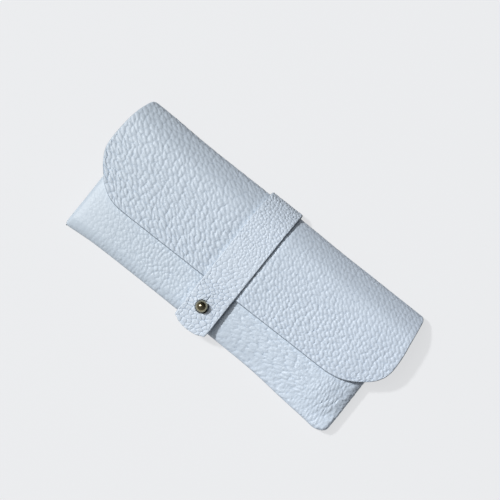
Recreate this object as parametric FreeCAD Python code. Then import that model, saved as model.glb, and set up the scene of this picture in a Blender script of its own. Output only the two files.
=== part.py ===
import FreeCAD, Part

import math
import os

from FreeCAD import Vector

# A soft leather glasses pouch. X runs along the case, Y from its bottom edge to the fold of its
# flap, and Z up from the surface that its back lies on. Lengths are in millimetres.

# Leather
HIDE = 1.6  # thickness of every piece of leather
LAYER_GAP = 0.3  # air between leathers that move over each other

# Pouch
POUCH_LEFT = -85.8
POUCH_RIGHT = 86.4
POUCH_BOTTOM = -37.8
MOUTH_TO_FOLD = 9.1  # from the front's free upper edge to the fold's centre
LEFT_CORNER_RADIUS = 2.5
RIGHT_CORNER_RADIUS = 5.0
SEAM_HEIGHT = 5.4  # plane where back and front are sewn together, and radius of the back's edge
SEAM_ALLOWANCE = 4.0  # leather turned inwards along the seam
FRONT_END_RADIUS = 7.0
FRONT_BOTTOM_RADIUS = 3.0
BACK_RISE_LENGTH = 24.0  # stretch where the back rises from the table to the fold

# Crown of the front, an arc about a line along X, the shoulder below it and the lip above it
CROWN_RADIUS = 700.0
SHOULDER_Y = -16.0
SHOULDER_RADIUS = 150.0
LIP_RADIUS = 16.5  # of the front from the top of the crown to the mouth

# Fold and flap
CASE_DEPTH = 82.8  # from the strap's end to the outside of the strap at the fold
FOLD_INNER_RADIUS = 0.8  # of the tight lower half of the fold
ROLL_INNER_RADIUS = 5.4  # of the round upper half of the fold
ROLL_END_ANGLE = 52.0  # where the roll runs into the brow
BROW_INNER_RADIUS = 23.8  # of the flap between the roll and the crown
FOLD_HALF_ANGLE = 45.0  # the fold bends at this angle each side of level
FLAP_EDGE_Y = -14.8
FLAP_HALF_LENGTH = 93.4
FLAP_BULGE_Y = 11.5  # where the flap is longest
FLAP_FOLD_HALF_LENGTH = 90.6
FLAP_FLAT_HALF_LENGTH = 66.0  # straight part of the lower edge
FLAP_CORNER_FULLNESS = 0.47
FOLD_CORNER_RADIUS = 4.0

# Strap
STRAP_X = -1.6
STRAP_WIDTH = 19.5
STRAP_DROOP_RADIUS = 120.0  # of its outer face below the flap
STRAP_END_RADIUS = 5.5
STRAP_END_ARCH = 0.8
TAIL_END_Y = 8.0
TAIL_CORNER_RADIUS = 3.0
TAIL_SIDE_GAP = 0.2

# Ball stud
STUD_X = -2.55
STUD_TO_STRAP_END = 13.6
STUD_BASE_DIAMETER = 8.0
STUD_BASE_THICKNESS = 1.0
STUD_CONE_HEIGHT = 0.9
STUD_NECK_DIAMETER = 3.6
STUD_BALL_DIAMETER = 6.2
STUD_BALL_RISE = 6.0  # from the base's underside to the middle of the ball
STUD_BARREL_DIAMETER = 4.2
BARREL_GAP = 0.1
SCREW_DIAMETER = 2.6
SCREW_HEAD_DIAMETER = 7.5
SCREW_HEAD_THICKNESS = 0.9
SCREW_SLOT_WIDTH = 1.0
SCREW_SLOT_DEPTH = 0.45
BACKING_DIAMETER = 14.0
BACKING_THICKNESS = 1.2
HOLE_CLEARANCE = 0.75  # of the buttonhole round the ball
HOLE_SHIFT = 0.15  # the buttonhole hangs this far to the right of the ball
SLIT_LENGTH = 4.0
SLIT_WIDTH = 0.5

# Thread
THREAD_WIDTH = 0.6
THREAD_HEIGHT = 0.4
STITCH_LENGTH = 3.0
STITCH_PITCH = 4.0
SEAM_INSET = 3.4  # from the pouch's edge to the line of stitches
BOX_INSET = 3.2  # from the strap's edge to its box of stitches
BOX_HEIGHT = 15.5
GROOVE_WIDTH = 1.0
GROOVE_DEPTH = 0.5

# Worked out from the sizes above
LAYER = HIDE + LAYER_GAP  # from one layer of leather to the same face of the next
FOLD_OUTER_RADIUS = FOLD_INNER_RADIUS + HIDE
STRAP_OUTER_RADIUS = FOLD_OUTER_RADIUS + LAYER
FOLD_Y = CASE_DEPTH / 2 - STRAP_OUTER_RADIUS
FOLD = (FOLD_Y, STRAP_OUTER_RADIUS)
MOUTH_Y = FOLD_Y - MOUTH_TO_FOLD
ROLL = (FOLD[0] + FOLD_INNER_RADIUS - ROLL_INNER_RADIUS, FOLD[1])
BROW_REACH = (ROLL_INNER_RADIUS - BROW_INNER_RADIUS) * math.cos(math.radians(ROLL_END_ANGLE))
BROW_DROP = (ROLL_INNER_RADIUS - BROW_INNER_RADIUS) * math.sin(math.radians(ROLL_END_ANGLE))
BROW = (ROLL[0] + BROW_REACH, ROLL[1] + BROW_DROP)
FLAP_UNDER_RADIUS = CROWN_RADIUS + LAYER_GAP
CROWN = (BROW[0], BROW[1] + BROW_INNER_RADIUS - FLAP_UNDER_RADIUS)
FRONT_TOP = CROWN[1] + CROWN_RADIUS
STRAP_END_Y = -CASE_DEPTH / 2
STUD_Y = STRAP_END_Y + STUD_TO_STRAP_END
BACK_RISE = FOLD[1] - FOLD_OUTER_RADIUS
RISE_RADIUS = (BACK_RISE_LENGTH**2 + BACK_RISE**2) / (4 * BACK_RISE)
RISE_ANGLE = math.degrees(math.asin(BACK_RISE_LENGTH / (2 * RISE_RADIUS)))
RISE_START_Y = FOLD_Y - BACK_RISE_LENGTH
MOUTH_ANGLE = math.degrees(math.asin(MOUTH_TO_FOLD / RISE_RADIUS))
HOLE_DIAMETER = STUD_BALL_DIAMETER + 2 * HOLE_CLEARANCE
WIDE = 2 * FLAP_HALF_LENGTH  # longer than any piece of leather is across
TALL = 2 * FRONT_TOP  # taller than any piece


def on_circle(centre, radius, angle):
    """The point (y, z) at an angle, in degrees from +Y, on a circle of the section."""
    a = math.radians(angle)
    return (centre[0] + radius * math.cos(a), centre[1] + radius * math.sin(a))


def section_line(start, end):
    return Part.makeLine(Vector(0, *start), Vector(0, *end))


def section_arc(centre, radius, start, end):
    angles = (start, (start + end) / 2, end)
    return Part.Arc(*[Vector(0, *on_circle(centre, radius, a)) for a in angles]).toShape()


def swept(edges):
    """The closed section, in the YZ plane, drawn along X over the whole width."""
    face = Part.Face(Part.Wire(Part.__sortEdges__(edges)))
    face.translate(Vector(-WIDE / 2, 0, 0))
    return face.extrude(Vector(WIDE, 0, 0))


def ribbon(pieces):
    """A strip of leather from tangent arcs: (centre, inner radius, outer radius, start, end)."""
    edges = []
    for centre, inner, outer, start, end in pieces:
        edges.append(section_arc(centre, inner, start, end))
        edges.append(section_arc(centre, outer, start, end))
    for centre, inner, outer, angle in (pieces[0][:4], pieces[-1][:3] + pieces[-1][4:]):
        edges.append(section_line(on_circle(centre, inner, angle), on_circle(centre, outer, angle)))
    return swept(edges)


def clear_of_bend(radius):
    """The angle, in degrees, that half a gap between two zones of the fold takes up at a radius."""
    return math.degrees(LAYER_GAP / 2 / radius)


def spine_ribbon(lift):
    """The zone of the fold between its two bends, for the layer that lies so far outside the hide."""
    fold, roll = FOLD_INNER_RADIUS + lift, ROLL_INNER_RADIUS + lift
    start = clear_of_bend(FOLD_OUTER_RADIUS) - FOLD_HALF_ANGLE
    end = FOLD_HALF_ANGLE - clear_of_bend(ROLL_INNER_RADIUS)
    return ribbon([(FOLD, fold, fold + HIDE, start, 0), (ROLL, roll, roll + HIDE, 0, end)])


def upper_arcs(lift, end_angle):
    """The arcs from the upper bend to an angle of the crown, for the layer so far outside the hide."""
    roll, brow, crown = ROLL_INNER_RADIUS + lift, BROW_INNER_RADIUS + lift, FLAP_UNDER_RADIUS + lift
    start = FOLD_HALF_ANGLE + clear_of_bend(ROLL_INNER_RADIUS)
    return [
        (ROLL, roll, roll + HIDE, start, ROLL_END_ANGLE),
        (BROW, brow, brow + HIDE, ROLL_END_ANGLE, 90),
        (CROWN, crown, crown + HIDE, 90, end_angle),
    ]


def box(x0, x1, y0, y1, z0, z1):
    return Part.makeBox(x1 - x0, y1 - y0, z1 - z0, Vector(x0, y0, z0))


def edges_near(shape, x=None, y=None, z=None):
    """The straight edges whose middle lies at the given coordinates, where they are given."""
    found = []
    for edge in shape.Edges:
        middle = edge.CenterOfMass
        wanted = ((middle.x, x), (middle.y, y), (middle.z, z))
        if all(value is None or abs(have - value) < 1e-6 for have, value in wanted):
            found.append(edge)
    return found


def angle_at(centre, radius, y):
    """The angle at which the upper half of a circle of the section stands over y."""
    return math.degrees(math.acos((y - centre[0]) / radius))


def disc(x, y, z0, z1, diameter):
    return Part.makeCylinder(diameter / 2, z1 - z0, Vector(x, y, z0))


def pouch_plan(inset, z0, z1):
    """The pouch's outline from above as a block, with its two rounded lower corners."""
    x0, x1, y0 = POUCH_LEFT + inset, POUCH_RIGHT - inset, POUCH_BOTTOM + inset
    block = box(x0, x1, y0, MOUTH_Y, z0, z1)
    for x, radius in ((x0, LEFT_CORNER_RADIUS), (x1, RIGHT_CORNER_RADIUS)):
        corner_radius = max(radius - inset, HIDE / 4)
        corner = edges_near(block, x=x, y=y0)
        block = block.makeFillet(corner_radius, corner)
    return block


def front_profile(inset):
    """The front's centre and radius at the shoulder, and the shoulder's end above its bottom."""
    crown_radius = CROWN_RADIUS - inset
    shoulder_angle = angle_at(CROWN, CROWN_RADIUS, SHOULDER_Y)
    centre = on_circle(CROWN, CROWN_RADIUS - SHOULDER_RADIUS, shoulder_angle)
    return crown_radius, shoulder_angle, centre, SHOULDER_RADIUS - inset


def front_block(inset):
    """The space under the front's outer face, or under its inner face with an inset of one hide."""
    crown_radius, shoulder_angle, centre, shoulder_radius = front_profile(inset)
    bottom_radius = FRONT_BOTTOM_RADIUS - inset
    wall_y = POUCH_BOTTOM + inset
    corner_y = wall_y + bottom_radius
    reach = shoulder_radius - bottom_radius
    corner_angle = 180 - math.degrees(math.acos((centre[0] - corner_y) / reach))
    corner = on_circle(centre, reach, corner_angle)
    lip, lip_radius = (CROWN[0], FRONT_TOP - LIP_RADIUS), LIP_RADIUS - inset
    mouth_angle = angle_at(lip, lip_radius, MOUTH_Y)
    mouth = on_circle(lip, lip_radius, mouth_angle)
    low_z = SEAM_HEIGHT - HIDE
    edges = [
        section_arc(lip, lip_radius, mouth_angle, 90),
        section_arc(CROWN, crown_radius, 90, shoulder_angle),
        section_arc(centre, shoulder_radius, shoulder_angle, corner_angle),
        section_arc(corner, bottom_radius, corner_angle, 180),
        section_line((wall_y, corner[1]), (wall_y, low_z)),
        section_line((wall_y, low_z), (MOUTH_Y, low_z)),
        section_line((MOUTH_Y, low_z), mouth),
    ]
    top = FRONT_TOP - inset
    slab = box(POUCH_LEFT + inset, POUCH_RIGHT - inset, wall_y, MOUTH_Y, low_z, top)
    ends = edges_near(slab, x=POUCH_LEFT + inset, z=top) + edges_near(slab, x=POUCH_RIGHT - inset, z=top)
    slab = slab.makeFillet(FRONT_END_RADIUS - inset, ends)
    return swept(edges).common(slab).common(pouch_plan(inset, SEAM_HEIGHT + inset, top))


def stud_seat_height():
    """Height of the front's outer face at the stud."""
    _, _, centre, radius = front_profile(0)
    return on_circle(centre, radius, angle_at(centre, radius, STUD_Y))[1]


def make_front_panel():
    seam_opening = pouch_plan(HIDE + SEAM_ALLOWANCE, SEAM_HEIGHT, SEAM_HEIGHT + HIDE)
    panel = front_block(0).cut(front_block(HIDE)).cut(seam_opening)
    seat = stud_seat_height()
    seat_diameter = STUD_BASE_DIAMETER + 2 * HIDE
    panel = panel.fuse(disc(STUD_X, STUD_Y, seat - HIDE, seat, seat_diameter))
    panel = panel.cut(disc(STUD_X, STUD_Y, seat, seat + HIDE, seat_diameter))
    under = disc(STUD_X, STUD_Y, seat - 2 * HIDE - BACKING_THICKNESS, seat - HIDE, BACKING_DIAMETER)
    panel = panel.cut(under)
    hole = disc(STUD_X, STUD_Y, seat - 2 * HIDE, seat + HIDE, STUD_BARREL_DIAMETER + 2 * BARREL_GAP)
    return panel.cut(hole)


def rise_arcs(inset):
    """The two arcs by which the back rises to the fold, as (centre, radius) pairs."""
    lower = ((RISE_START_Y, RISE_RADIUS), RISE_RADIUS - inset)
    upper = ((FOLD_Y, BACK_RISE - RISE_RADIUS), RISE_RADIUS + inset)
    return lower, upper


def back_block(inset):
    """The space over the back's outer face, or over its inner face with an inset of one hide."""
    radius = SEAM_HEIGHT - inset
    wall_y = POUCH_BOTTOM + inset
    corner = (wall_y + radius, SEAM_HEIGHT)
    (lower, lower_radius), (upper, upper_radius) = rise_arcs(inset)
    mouth = on_circle(upper, upper_radius, 90 + MOUTH_ANGLE)
    top_z = SEAM_HEIGHT - inset
    wall_top = (wall_y, SEAM_HEIGHT)
    edges = [
        section_line(wall_top, (mouth[0], SEAM_HEIGHT)),
        section_arc(corner, radius, 180, 270),
        section_line((corner[0], inset), (RISE_START_Y, inset)),
        section_arc(lower, lower_radius, 270, 270 + RISE_ANGLE),
        section_arc(upper, upper_radius, 90 + RISE_ANGLE, 90 + MOUTH_ANGLE),
        section_line(mouth, (mouth[0], SEAM_HEIGHT)),
    ]
    slab = box(POUCH_LEFT + inset, POUCH_RIGHT - inset, wall_y, FOLD_Y, inset, SEAM_HEIGHT + HIDE)
    ends = edges_near(slab, x=POUCH_LEFT + inset, z=inset) + edges_near(slab, x=POUCH_RIGHT - inset, z=inset)
    slab = slab.makeFillet(radius, ends)
    lid = box(-WIDE / 2, WIDE / 2, wall_y, FOLD_Y, inset, top_z)
    return swept(edges).common(slab).common(lid).common(pouch_plan(inset, 0, SEAM_HEIGHT))


def fold_corner():
    """The rounded right-hand corner of the hide at the fold, from above: its end and its arc."""
    half, radius = FLAP_FOLD_HALF_LENGTH, FOLD_CORNER_RADIUS
    centre = Vector(half - radius, FOLD_Y + FOLD_OUTER_RADIUS - radius)
    start, end = centre + Vector(0, radius), centre + Vector(radius, 0)
    middle = centre + Vector(radius, radius) * math.sqrt(0.5)
    return start, Part.Arc(start, middle, end).toShape(), end


def mirrored(edges):
    return [edge.mirror(Vector(), Vector(1, 0, 0)) for edge in edges]


def plan_block(edges):
    """The outline from above as a block taller than the case."""
    face = Part.Face(Part.Wire(Part.__sortEdges__(edges)))
    face.translate(Vector(0, 0, -TALL))
    return face.extrude(Vector(0, 0, 2 * TALL))


def hide_plan():
    """The back hide's outline from above past the mouth: it spreads, and is round at the fold."""
    start, corner, end = fold_corner()
    top = Part.makeLine(Vector(-start.x, start.y), start)
    mouth_left, mouth_right = Vector(POUCH_LEFT, MOUTH_Y), Vector(POUCH_RIGHT, MOUTH_Y)
    left = Part.makeLine(mouth_left, Vector(-end.x, end.y))
    right = Part.makeLine(mouth_right, end)
    return plan_block([top, corner, left, right, Part.makeLine(mouth_left, mouth_right)] + mirrored([corner]))


def strap_strip(y0, y1, half_width):
    return box(STRAP_X - half_width, STRAP_X + half_width, y0, y1, -TALL, TALL)


def lower_bend_angle():
    """Where the leather on the pouch's side of the lower bend ends."""
    return -FOLD_HALF_ANGLE - clear_of_bend(FOLD_OUTER_RADIUS)


def make_back_panel():
    seam_opening = pouch_plan(HIDE + SEAM_ALLOWANCE, SEAM_HEIGHT - HIDE, SEAM_HEIGHT)
    tray = back_block(0).cut(back_block(HIDE)).cut(seam_opening)
    _, (upper, _) = rise_arcs(0)
    to_fold = ribbon(
        [
            (upper, RISE_RADIUS + HIDE, RISE_RADIUS, 90 + MOUTH_ANGLE, 90),
            (FOLD, FOLD_INNER_RADIUS, FOLD_OUTER_RADIUS, -90, lower_bend_angle()),
        ]
    )
    panel = tray.fuse(to_fold.common(hide_plan()))
    half = STRAP_WIDTH / 2 + TAIL_SIDE_GAP
    start = TAIL_END_Y - TAIL_SIDE_GAP
    channel = box(STRAP_X - half - HIDE, STRAP_X + half + HIDE, start - HIDE, FOLD_Y, 0, 2 * HIDE)
    channel = channel.common(box(-WIDE, WIDE, -WIDE, FOLD_Y, 0, 2 * HIDE))
    panel = panel.fuse(channel)
    return panel.cut(box(STRAP_X - half, STRAP_X + half, start, FOLD_Y, 0, HIDE)).removeSplitter()


def make_fold_spine():
    return spine_ribbon(0).common(hide_plan())


def flap_plan():
    """The flap's outline from above: ends that bulge, and large soft lower corners."""
    start, fold_end, shoulder = fold_corner()
    bulge = Vector(FLAP_HALF_LENGTH, FLAP_BULGE_Y)
    rise, sag = shoulder.y - FLAP_BULGE_Y, FLAP_HALF_LENGTH - FLAP_FOLD_HALF_LENGTH
    end_radius = (rise**2 + sag**2) / (2 * sag)
    half_turn = math.asin(rise / end_radius) / 2
    centre = Vector(FLAP_HALF_LENGTH - end_radius, FLAP_BULGE_Y)
    middle = centre + Vector(end_radius * math.cos(half_turn), end_radius * math.sin(half_turn))
    foot = Vector(FLAP_FLAT_HALF_LENGTH, FLAP_EDGE_Y)
    down = Vector(0, -FLAP_CORNER_FULLNESS * (FLAP_BULGE_Y - FLAP_EDGE_Y))
    out = Vector(FLAP_CORNER_FULLNESS * (FLAP_HALF_LENGTH - FLAP_FLAT_HALF_LENGTH), 0)
    corner = Part.BezierCurve()
    corner.setPoles([bulge, bulge + down, foot + out, foot])
    right = [
        Part.makeLine(Vector(0, start.y), start),
        fold_end,
        Part.Arc(shoulder, middle, bulge).toShape(),
        corner.toShape(),
        Part.makeLine(foot, Vector(0, FLAP_EDGE_Y)),
    ]
    return plan_block(right + mirrored(right))


def make_flap():
    edge_angle = angle_at(CROWN, FLAP_UNDER_RADIUS, FLAP_EDGE_Y - HIDE)
    return ribbon(upper_arcs(0, edge_angle)).common(flap_plan())


def make_strap_tail():
    """The strap's sewn end under the back, with a groove for its stitches, up to the fold."""
    flat = strap_strip(TAIL_END_Y, FOLD_Y, STRAP_WIDTH / 2).common(box(-WIDE, WIDE, -WIDE, WIDE, 0, HIDE))
    flat = flat.makeFillet(TAIL_CORNER_RADIUS, edges_near(flat, y=TAIL_END_Y, z=HIDE / 2))
    turn = ribbon([(FOLD, STRAP_OUTER_RADIUS - HIDE, STRAP_OUTER_RADIUS, -90, lower_bend_angle())])
    turn = turn.common(strap_strip(FOLD_Y, FOLD_Y + STRAP_OUTER_RADIUS, STRAP_WIDTH / 2))
    x0, x1, y0, y1 = stitch_box()
    half = GROOVE_WIDTH / 2
    outer = box(x0 - half, x1 + half, y0 - half, y1 + half, 0, GROOVE_DEPTH)
    inner = box(x0 + half, x1 - half, y0 + half, y1 - half, 0, GROOVE_DEPTH)
    return flat.fuse(turn).cut(outer.cut(inner)).removeSplitter()


def make_strap_spine():
    return spine_ribbon(LAYER).common(strap_strip(-WIDE, WIDE, STRAP_WIDTH / 2))


def strap_plan():
    """The strap's outline from above, with its rounded and slightly arched end."""
    half, radius = STRAP_WIDTH / 2, STRAP_END_RADIUS
    block = strap_strip(STRAP_END_Y + STRAP_END_ARCH, FOLD_Y + STRAP_OUTER_RADIUS, half)
    block = block.makeFillet(radius, edges_near(block, y=STRAP_END_Y + STRAP_END_ARCH, z=0))
    chord = half - radius / 2
    arch_radius = (chord**2 + STRAP_END_ARCH**2) / (2 * STRAP_END_ARCH)
    arch = disc(STRAP_X, STRAP_END_Y + arch_radius, -TALL, TALL, 2 * arch_radius)
    arch_strip = strap_strip(STRAP_END_Y, STRAP_END_Y + radius, chord)
    return block.fuse(arch.common(arch_strip))


def make_strap_front():
    outer_radius = FLAP_UNDER_RADIUS + LAYER + HIDE
    droop_start = angle_at(CROWN, outer_radius, SHOULDER_Y)
    reach = outer_radius - STRAP_DROOP_RADIUS
    droop_centre = on_circle(CROWN, reach, droop_start)
    droop_end = angle_at(droop_centre, STRAP_DROOP_RADIUS, STRAP_END_Y - HIDE)
    droop = (droop_centre, STRAP_DROOP_RADIUS - HIDE, STRAP_DROOP_RADIUS, droop_start, droop_end)
    strip = ribbon(upper_arcs(LAYER, droop_start) + [droop])
    hole_x = STUD_X + HOLE_SHIFT
    strap = strip.common(strap_plan()).cut(disc(hole_x, STUD_Y, 0, TALL, HOLE_DIAMETER))
    slit_end = STUD_Y + HOLE_DIAMETER / 2 + SLIT_LENGTH
    slit = box(hole_x - SLIT_WIDTH / 2, hole_x + SLIT_WIDTH / 2, STUD_Y, slit_end, 0, TALL)
    return strap.cut(slit)


def make_stud_post():
    """The ball stud: base, cone, neck and ball above the leather, barrel through it."""
    seat = stud_seat_height()
    base, neck, ball = STUD_BASE_DIAMETER / 2, STUD_NECK_DIAMETER / 2, STUD_BALL_DIAMETER / 2
    base_top = seat + STUD_BASE_THICKNESS
    ball_z = seat + STUD_BALL_RISE
    cone = Part.makeCone(base, neck, STUD_CONE_HEIGHT, Vector(STUD_X, STUD_Y, base_top))
    post = disc(STUD_X, STUD_Y, seat, base_top, 2 * base).fuse(cone)
    post = post.fuse(disc(STUD_X, STUD_Y, seat, ball_z, 2 * neck))
    post = post.fuse(Part.makeSphere(ball, Vector(STUD_X, STUD_Y, ball_z)))
    barrel_end = seat - HIDE - BACKING_THICKNESS
    post = post.fuse(disc(STUD_X, STUD_Y, barrel_end, seat, STUD_BARREL_DIAMETER))
    thread = disc(STUD_X, STUD_Y, barrel_end, seat + STUD_BASE_THICKNESS, SCREW_DIAMETER)
    return post.cut(thread).removeSplitter()


def make_stud_backing():
    top = stud_seat_height() - HIDE
    ring = disc(STUD_X, STUD_Y, top - BACKING_THICKNESS, top, BACKING_DIAMETER)
    hole = disc(STUD_X, STUD_Y, top - BACKING_THICKNESS, top, STUD_BARREL_DIAMETER + 2 * BARREL_GAP)
    return ring.cut(hole)


def make_stud_screw():
    head_top = stud_seat_height() - HIDE - BACKING_THICKNESS
    head = disc(STUD_X, STUD_Y, head_top - SCREW_HEAD_THICKNESS, head_top, SCREW_HEAD_DIAMETER)
    shank = disc(STUD_X, STUD_Y, head_top, stud_seat_height(), SCREW_DIAMETER)
    slot_floor = head_top - SCREW_HEAD_THICKNESS + SCREW_SLOT_DEPTH
    half, width = SCREW_HEAD_DIAMETER, SCREW_SLOT_WIDTH / 2
    slot = box(STUD_X - half, STUD_X + half, STUD_Y - width, STUD_Y + width, 0, slot_floor)
    return head.fuse(shank).cut(slot)


def stitch_row(start, end, z):
    """A row of stitches along X or Y, from one point (x, y) to another."""
    length = math.dist(start, end)
    count = max(1, round(length / STITCH_PITCH))
    direction = ((end[0] - start[0]) / length, (end[1] - start[1]) / length)
    along_x = abs(direction[0]) > abs(direction[1])
    half_x, half_y = (STITCH_LENGTH, THREAD_WIDTH) if along_x else (THREAD_WIDTH, STITCH_LENGTH)
    stitches = []
    for number in range(count):
        reach = length * (number + 0.5) / count
        x, y = start[0] + direction[0] * reach, start[1] + direction[1] * reach
        stitches.append(
            box(x - half_x / 2, x + half_x / 2, y - half_y / 2, y + half_y / 2, z, z + THREAD_HEIGHT)
        )
    return stitches


def stitch_box():
    """The strap's box of stitches: x0, x1, y0, y1."""
    half = STRAP_WIDTH / 2 - BOX_INSET
    y0 = TAIL_END_Y + BOX_INSET
    return STRAP_X - half, STRAP_X + half, y0, y0 + BOX_HEIGHT


def make_strap_thread():
    x0, x1, y0, y1 = stitch_box()
    corners = ((x0, y0), (x1, y0), (x1, y1), (x0, y1))
    stitches = []
    for z in (GROOVE_DEPTH - THREAD_HEIGHT, 2 * HIDE):
        for number, corner in enumerate(corners):
            stitches += stitch_row(corner, corners[(number + 1) % len(corners)], z)
    return Part.makeCompound(stitches)


def make_seam_thread():
    x0, x1, y0 = POUCH_LEFT + SEAM_INSET, POUCH_RIGHT - SEAM_INSET, POUCH_BOTTOM + SEAM_INSET
    stitches = []
    for z in (SEAM_HEIGHT + HIDE, SEAM_HEIGHT - HIDE - THREAD_HEIGHT):
        for start, end in (((x0, MOUTH_Y), (x0, y0)), ((x0, y0), (x1, y0)), ((x1, y0), (x1, MOUTH_Y))):
            stitches += stitch_row(start, end, z)
    return Part.makeCompound(stitches)


NODES = {
    "back_panel": make_back_panel,
    "front_panel": make_front_panel,
    "fold_spine": make_fold_spine,
    "flap": make_flap,
    "strap_tail": make_strap_tail,
    "strap_spine": make_strap_spine,
    "strap_front": make_strap_front,
    "stud_post": make_stud_post,
    "stud_screw": make_stud_screw,
    "stud_backing": make_stud_backing,
    "seam_thread": make_seam_thread,
    "strap_thread": make_strap_thread,
}


def main():
    os.makedirs("parts", exist_ok=True)
    for name, make in NODES.items():
        shape = make()
        shape.exportStep(f"parts/{name}.step")
        low, high = shape.BoundBox, shape.BoundBox
        print(
            f"{name}: {len(shape.Solids)} solids, valid {shape.isValid()}, {shape.Volume:.1f} mm3,"
            f" x {low.XMin:.2f} {high.XMax:.2f}, y {low.YMin:.2f} {high.YMax:.2f}, z {low.ZMin:.2f} {high.ZMax:.2f}"
        )


if __name__ == "__main__":
    main()
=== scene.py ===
"""Builds the looks of a soft pouch glasses case round its jointed frame.

Two hides, a strap and a ball stud. Shapes are worked out in millimetres as whole arrays of points and
scaled to metres when their mesh is made. Every leather point carries two attributes: "hide_place", its
place on the flat hide before folding, which the grain's fine patterns follow, and "swell", which runs
from 0 in a crease of the grain to 1 on top of a pebble and sets the painted shade that darkens the creases
in the leather's colour; on the flap it also falls to 0 in a thin painted shadow line along the lower edge.
"""

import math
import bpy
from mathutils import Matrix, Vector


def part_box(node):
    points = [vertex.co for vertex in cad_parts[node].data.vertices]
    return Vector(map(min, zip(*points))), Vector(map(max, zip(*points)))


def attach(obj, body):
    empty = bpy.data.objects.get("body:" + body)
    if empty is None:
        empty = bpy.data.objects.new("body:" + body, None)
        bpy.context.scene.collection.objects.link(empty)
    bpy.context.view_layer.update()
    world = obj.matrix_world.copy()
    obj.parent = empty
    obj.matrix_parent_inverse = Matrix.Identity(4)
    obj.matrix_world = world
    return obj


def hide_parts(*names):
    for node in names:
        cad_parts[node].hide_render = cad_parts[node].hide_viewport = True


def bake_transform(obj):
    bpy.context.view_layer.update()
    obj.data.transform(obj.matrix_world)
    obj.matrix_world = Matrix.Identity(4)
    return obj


bl_info = {
    "name": "Soft Pouch Glasses Case",
    "version": (1, 0, 0),
    "blender": (4, 5, 0),
    "location": "View3D > Sidebar > Glasses Case",
    "description": "A grained leather pouch with a folded flap, a sewn strap and a ball stud",
    "category": "Add Mesh",
}

import bmesh
import bpy
import numpy as np
from mathutils import Matrix, Vector

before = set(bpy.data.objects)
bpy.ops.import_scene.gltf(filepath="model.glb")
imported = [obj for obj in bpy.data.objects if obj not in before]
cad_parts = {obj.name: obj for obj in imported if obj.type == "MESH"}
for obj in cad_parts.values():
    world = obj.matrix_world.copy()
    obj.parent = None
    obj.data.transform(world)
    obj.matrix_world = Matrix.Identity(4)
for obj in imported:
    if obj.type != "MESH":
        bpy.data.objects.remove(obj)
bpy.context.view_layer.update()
MM = 0.001


def cad_box(node):
    """A CAD node's lowest and highest corners, in millimetres."""
    low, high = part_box(node)
    return np.array(low) / MM, np.array(high) / MM


BACK_LOW, BACK_HIGH = cad_box("back_panel")
FRONT_LOW, FRONT_HIGH = cad_box("front_panel")
STRAP_LOW, STRAP_HIGH = cad_box("strap_front")
POST_LOW, POST_HIGH = cad_box("stud_post")
SEAM_HEIGHT, MOUTH_Y = FRONT_LOW[2], FRONT_HIGH[1]
FOLD_HALF, FOLD_END_Y = BACK_HIGH[0], cad_box("strap_spine")[1][1]
TAIL_END_Y = cad_box("strap_tail")[0][1]
STRAP_X = (STRAP_LOW[0] + STRAP_HIGH[0]) / 2
STRAP_HALF = (STRAP_HIGH[0] - STRAP_LOW[0]) / 2
STRAP_LEFT, STRAP_RIGHT = STRAP_X - STRAP_HALF, STRAP_X + STRAP_HALF
STUD = ((POST_LOW[0] + POST_HIGH[0]) / 2, (POST_LOW[1] + POST_HIGH[1]) / 2)
# The strap's straight run ends here and its tab begins
TAB_Y = -13.5


# ---------------------------------------------------------------- sizes and colours


def length(name, description, value):
    """A size property, in metres, from its default in millimetres."""
    return bpy.props.FloatProperty(name=name, description=description, default=value * MM, min=0.0,
                                   unit="LENGTH", subtype="DISTANCE", precision=5)


def amount(name, description, value, most=100.0):
    """A plain number property."""
    return bpy.props.FloatProperty(name=name, description=description, default=value, min=0.0, max=most)


def colour(name, description, red, green, blue):
    """A linear colour property."""
    return bpy.props.FloatVectorProperty(name=name, description=description, default=(red, green, blue),
                                         min=0.0, max=1.0, subtype="COLOR")


class LeatherSettings(bpy.types.PropertyGroup):
    """Thicknesses, bends, grain and colours of the leather"""

    hide: length("Hide", "Thickness of the leather", 1.6)
    layer_gap: length("Layer gap", "Air between two layers of leather", 0.3)
    fold_radius: length("Fold radius", "Radius inside the tight lower half of the hide's fold", 0.8)
    roll_radius: length("Roll radius", "Radius inside the round upper half of the fold", 5.4)
    brow_radius: length("Brow radius", "Radius inside the flap between the roll and the crown", 23.8)
    crown_radius: length("Crown radius", "Radius of the case's gentle crown, on the front sheet", 700.0)
    flap_grain: length("Flap grain", "Height of the pebbles on the flap", 0.85)
    front_grain: length("Front grain", "Height of the pebbles on the front", 0.75)
    strap_grain: length("Strap grain", "Height of the pebbles on the strap", 0.75)
    spacing: length("Spacing", "Distance between neighbouring points of the leather", 0.42)
    flap_colour: colour("Flap colour", "Leather of the flap and the back", 0.56, 0.65, 0.73)
    front_colour: colour("Front colour", "Leather of the front", 0.545, 0.635, 0.71)
    strap_colour: colour("Strap colour", "Leather of the strap", 0.60, 0.69, 0.77)
    flesh_colour: colour("Flesh colour", "Suede side of the leather", 0.47, 0.53, 0.58)
    cut_colour: colour("Cut colour", "Raw edge of the leather", 0.44, 0.50, 0.55)


class StudSettings(bpy.types.PropertyGroup):
    """The stud and its buttonhole"""

    ball: length("Ball", "Diameter of the ball", 6.2)
    neck: length("Neck", "Diameter of the neck", 3.6)
    base: length("Base", "Diameter of the foot", 8.0)
    base_height: length("Base height", "Height of the foot's rim", 1.0)
    cone_height: length("Cone height", "Height of the slope from foot to neck", 0.9)
    hole: length("Hole", "Diameter of the hole in the strap", 7.3)
    slit: length("Slit", "Length of the slit beyond the hole", 3.6)
    metal_colour: colour("Metal colour", "Aged brass of the stud", 0.36, 0.32, 0.21)


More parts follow.
